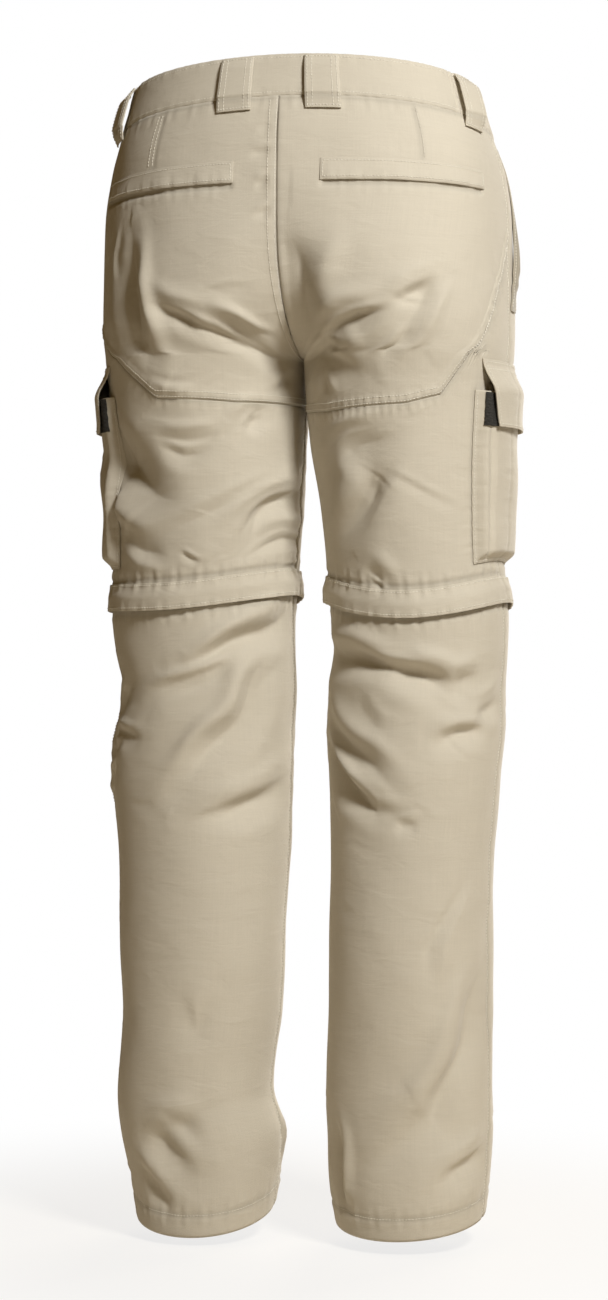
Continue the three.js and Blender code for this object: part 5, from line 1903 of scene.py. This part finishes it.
@dataclass
class Studio:
    """A plain pale floor, a bright backdrop, soft light from the photo's right, the camera."""

    azimuth: float = 193.0
    distance: float = 2.7
    height: float = -0.495
    shift: float = 0.0037
    lens: float = 80.4
    floor_level: float = -1.0400
    key_power: float = 60.0
    key_side: float = 29.0
    key_size: float = 0.5
    key_distance: float = 2.0
    key_rise: float = 1.5
    key_colour: tuple[float, float, float] = (1.0, 1.0, 0.985)
    middle: tuple[float, float, float] = (0.0, 0.0, -0.5)
    fill_power: float = 125.0
    fill_size: float = 2.4
    fill_distance: float = 3.4
    fill_rise: float = 0.8
    fill_colour: tuple[float, float, float] = (1.0, 0.95, 0.87)
    floor_radius: float = 1.6
    floor_sides: int = 96
    floor_colour: tuple[float, float, float] = (0.8, 0.74, 0.64)
    floor_fade: tuple[float, float] = (0.2, 0.75)
    ambient: float = 0.1
    shade: tuple[float, float, float] = (1.0, 0.62, 0.18)

    def build(self) -> None:
        """Build floor, world, lights and camera."""
        self.floor()
        self.world()
        toward = math.radians(self.azimuth)
        back = np.array([math.sin(toward), -math.cos(toward), 0.0])
        right = np.array([back[1] * -1.0, back[0], 0.0])
        centre = np.array(self.middle)
        side = math.radians(self.key_side)
        key = math.cos(side) * back + math.sin(side) * right
        place = centre + self.key_distance * key + [0, 0, self.key_rise]
        self.light("key", place, centre, self.key_size, self.key_power, self.key_colour)
        fill = -0.9 * back + 0.45 * right
        self.light("front_fill", centre + self.fill_distance * fill + [0, 0, self.fill_rise],
                   centre, self.fill_size, self.fill_power, self.fill_colour)
        camera = bpy.data.objects.new("camera", bpy.data.cameras.new("camera"))
        bpy.context.scene.collection.objects.link(camera)
        place = self.distance * back - self.shift * right
        camera.location = (place[0], place[1], self.height)
        camera.rotation_euler = (math.pi / 2, 0, toward)
        camera.data.lens = self.lens
        camera.data.sensor_width = 36
        camera.data.clip_end = 30
        bpy.context.scene.camera = camera
        bpy.context.scene.view_settings.view_transform = "Standard"

    def light(self, name: str, place: np.ndarray, target: np.ndarray, size: float,
              power: float, colour: tuple[float, float, float] = (1, 1, 1)) -> None:
        """Add a soft square light that looks at a target.

        Args:
            name: the light's name.
            place: where it stands, in metres.
            target: what it looks at.
            size: side of the square in metres.
            power: power in watts.
            colour: its colour.
        """
        lamp = bpy.data.lights.new(name, "AREA")
        lamp.color = colour
        lamp.size = size
        lamp.energy = power
        holder = bpy.data.objects.new(name, lamp)
        bpy.context.scene.collection.objects.link(holder)
        look = unit(np.asarray(target) - np.asarray(place))
        yaw = math.atan2(look[1], look[0]) - math.pi / 2
        pitch = math.asin(look[2])
        holder.location = tuple(place)
        holder.rotation_euler = (math.pi / 2 + pitch, 0, yaw)

    def floor(self) -> None:
        """Lay the floor, a disc that is pale under the object and white to the eye farther out.

        The share of white grows with the distance from the middle, on object coordinates.
        """
        mesh = bpy.data.meshes.new("floor")
        angle = np.linspace(0, 2 * math.pi, self.floor_sides + 1)[:-1]
        rim = np.stack([self.floor_radius * np.cos(angle), self.floor_radius * np.sin(angle),
                        np.full(self.floor_sides, self.floor_level)], -1)
        mesh.from_pydata(rim.tolist(), [], [tuple(range(self.floor_sides))])
        floor = bpy.data.objects.new("floor", mesh)
        bpy.context.scene.collection.objects.link(floor)
        material, nodes, links, shader = blank_material("pale_floor")
        shader.inputs["Base Color"].default_value = (*self.floor_colour, 1)
        shader.inputs["Roughness"].default_value = 0.9
        place = nodes.new("ShaderNodeTexCoord")
        flat = nodes.new("ShaderNodeVectorMath")
        flat.operation = "MULTIPLY"
        flat.inputs[1].default_value = (1, 1, 0)
        reach = nodes.new("ShaderNodeVectorMath")
        reach.operation = "LENGTH"
        white = nodes.new("ShaderNodeMapRange")
        white.interpolation_type = "SMOOTHSTEP"
        white.inputs["From Min"].default_value = self.floor_fade[0]
        white.inputs["From Max"].default_value = self.floor_fade[1]
        white.inputs["To Min"].default_value = 0.78
        white.inputs["To Max"].default_value = 1.0
        path = nodes.new("ShaderNodeLightPath")
        share = nodes.new("ShaderNodeMath")
        share.operation = "MULTIPLY"
        glow = nodes.new("ShaderNodeEmission")
        mix = nodes.new("ShaderNodeMixShader")
        links.new(place.outputs["Object"], flat.inputs[0])
        links.new(flat.outputs["Vector"], reach.inputs[0])
        links.new(reach.outputs["Value"], white.inputs["Value"])
        links.new(path.outputs["Is Camera Ray"], share.inputs[0])
        links.new(white.outputs["Result"], share.inputs[1])
        links.new(share.outputs[0], mix.inputs["Fac"])
        links.new(shader.outputs["BSDF"], mix.inputs[1])
        links.new(glow.outputs["Emission"], mix.inputs[2])
        links.new(mix.outputs["Shader"], nodes["Material Output"].inputs["Surface"])
        mesh.materials.append(material)

    def world(self) -> None:
        """Set a white backdrop to the eye that gives only a low light itself."""
        world = bpy.data.worlds.new("studio")
        world.use_nodes = True
        nodes, links = world.node_tree.nodes, world.node_tree.links
        dim = nodes["Background"]
        dim.inputs["Color"].default_value = (*self.shade, 1)
        dim.inputs["Strength"].default_value = self.ambient
        bright = nodes.new("ShaderNodeBackground")
        bright.inputs["Color"].default_value = (1, 1, 1, 1)
        path = nodes.new("ShaderNodeLightPath")
        mix = nodes.new("ShaderNodeMixShader")
        links.new(path.outputs["Is Camera Ray"], mix.inputs["Fac"])
        links.new(dim.outputs["Background"], mix.inputs[1])
        links.new(bright.outputs["Background"], mix.inputs[2])
        links.new(mix.outputs["Shader"], nodes["World Output"].inputs["Surface"])
        bpy.context.scene.world = world


def main() -> None:
    """Build the pieces in order, then the studio."""
    logging.basicConfig(level=logging.INFO, format="%(name)s: %(message)s")
    wardrobe = Wardrobe()
    shop = Workshop(Cloth(TrouserForm()), wardrobe, Stitching(wardrobe))
    panels = Panels(shop)
    panels.build()
    panels.dress()
    band = Waistband(shop)
    band.build()
    band.dress()
    BeltLoops(shop, band).build()
    BackPockets(shop).build()
    CargoPockets(shop).build()
    Knees(shop).build()
    FrontPockets(shop).build()
    Fly(shop, band).build()
    shop.stitching.build()
    Studio().build()


if __name__ == "__main__":
    main()
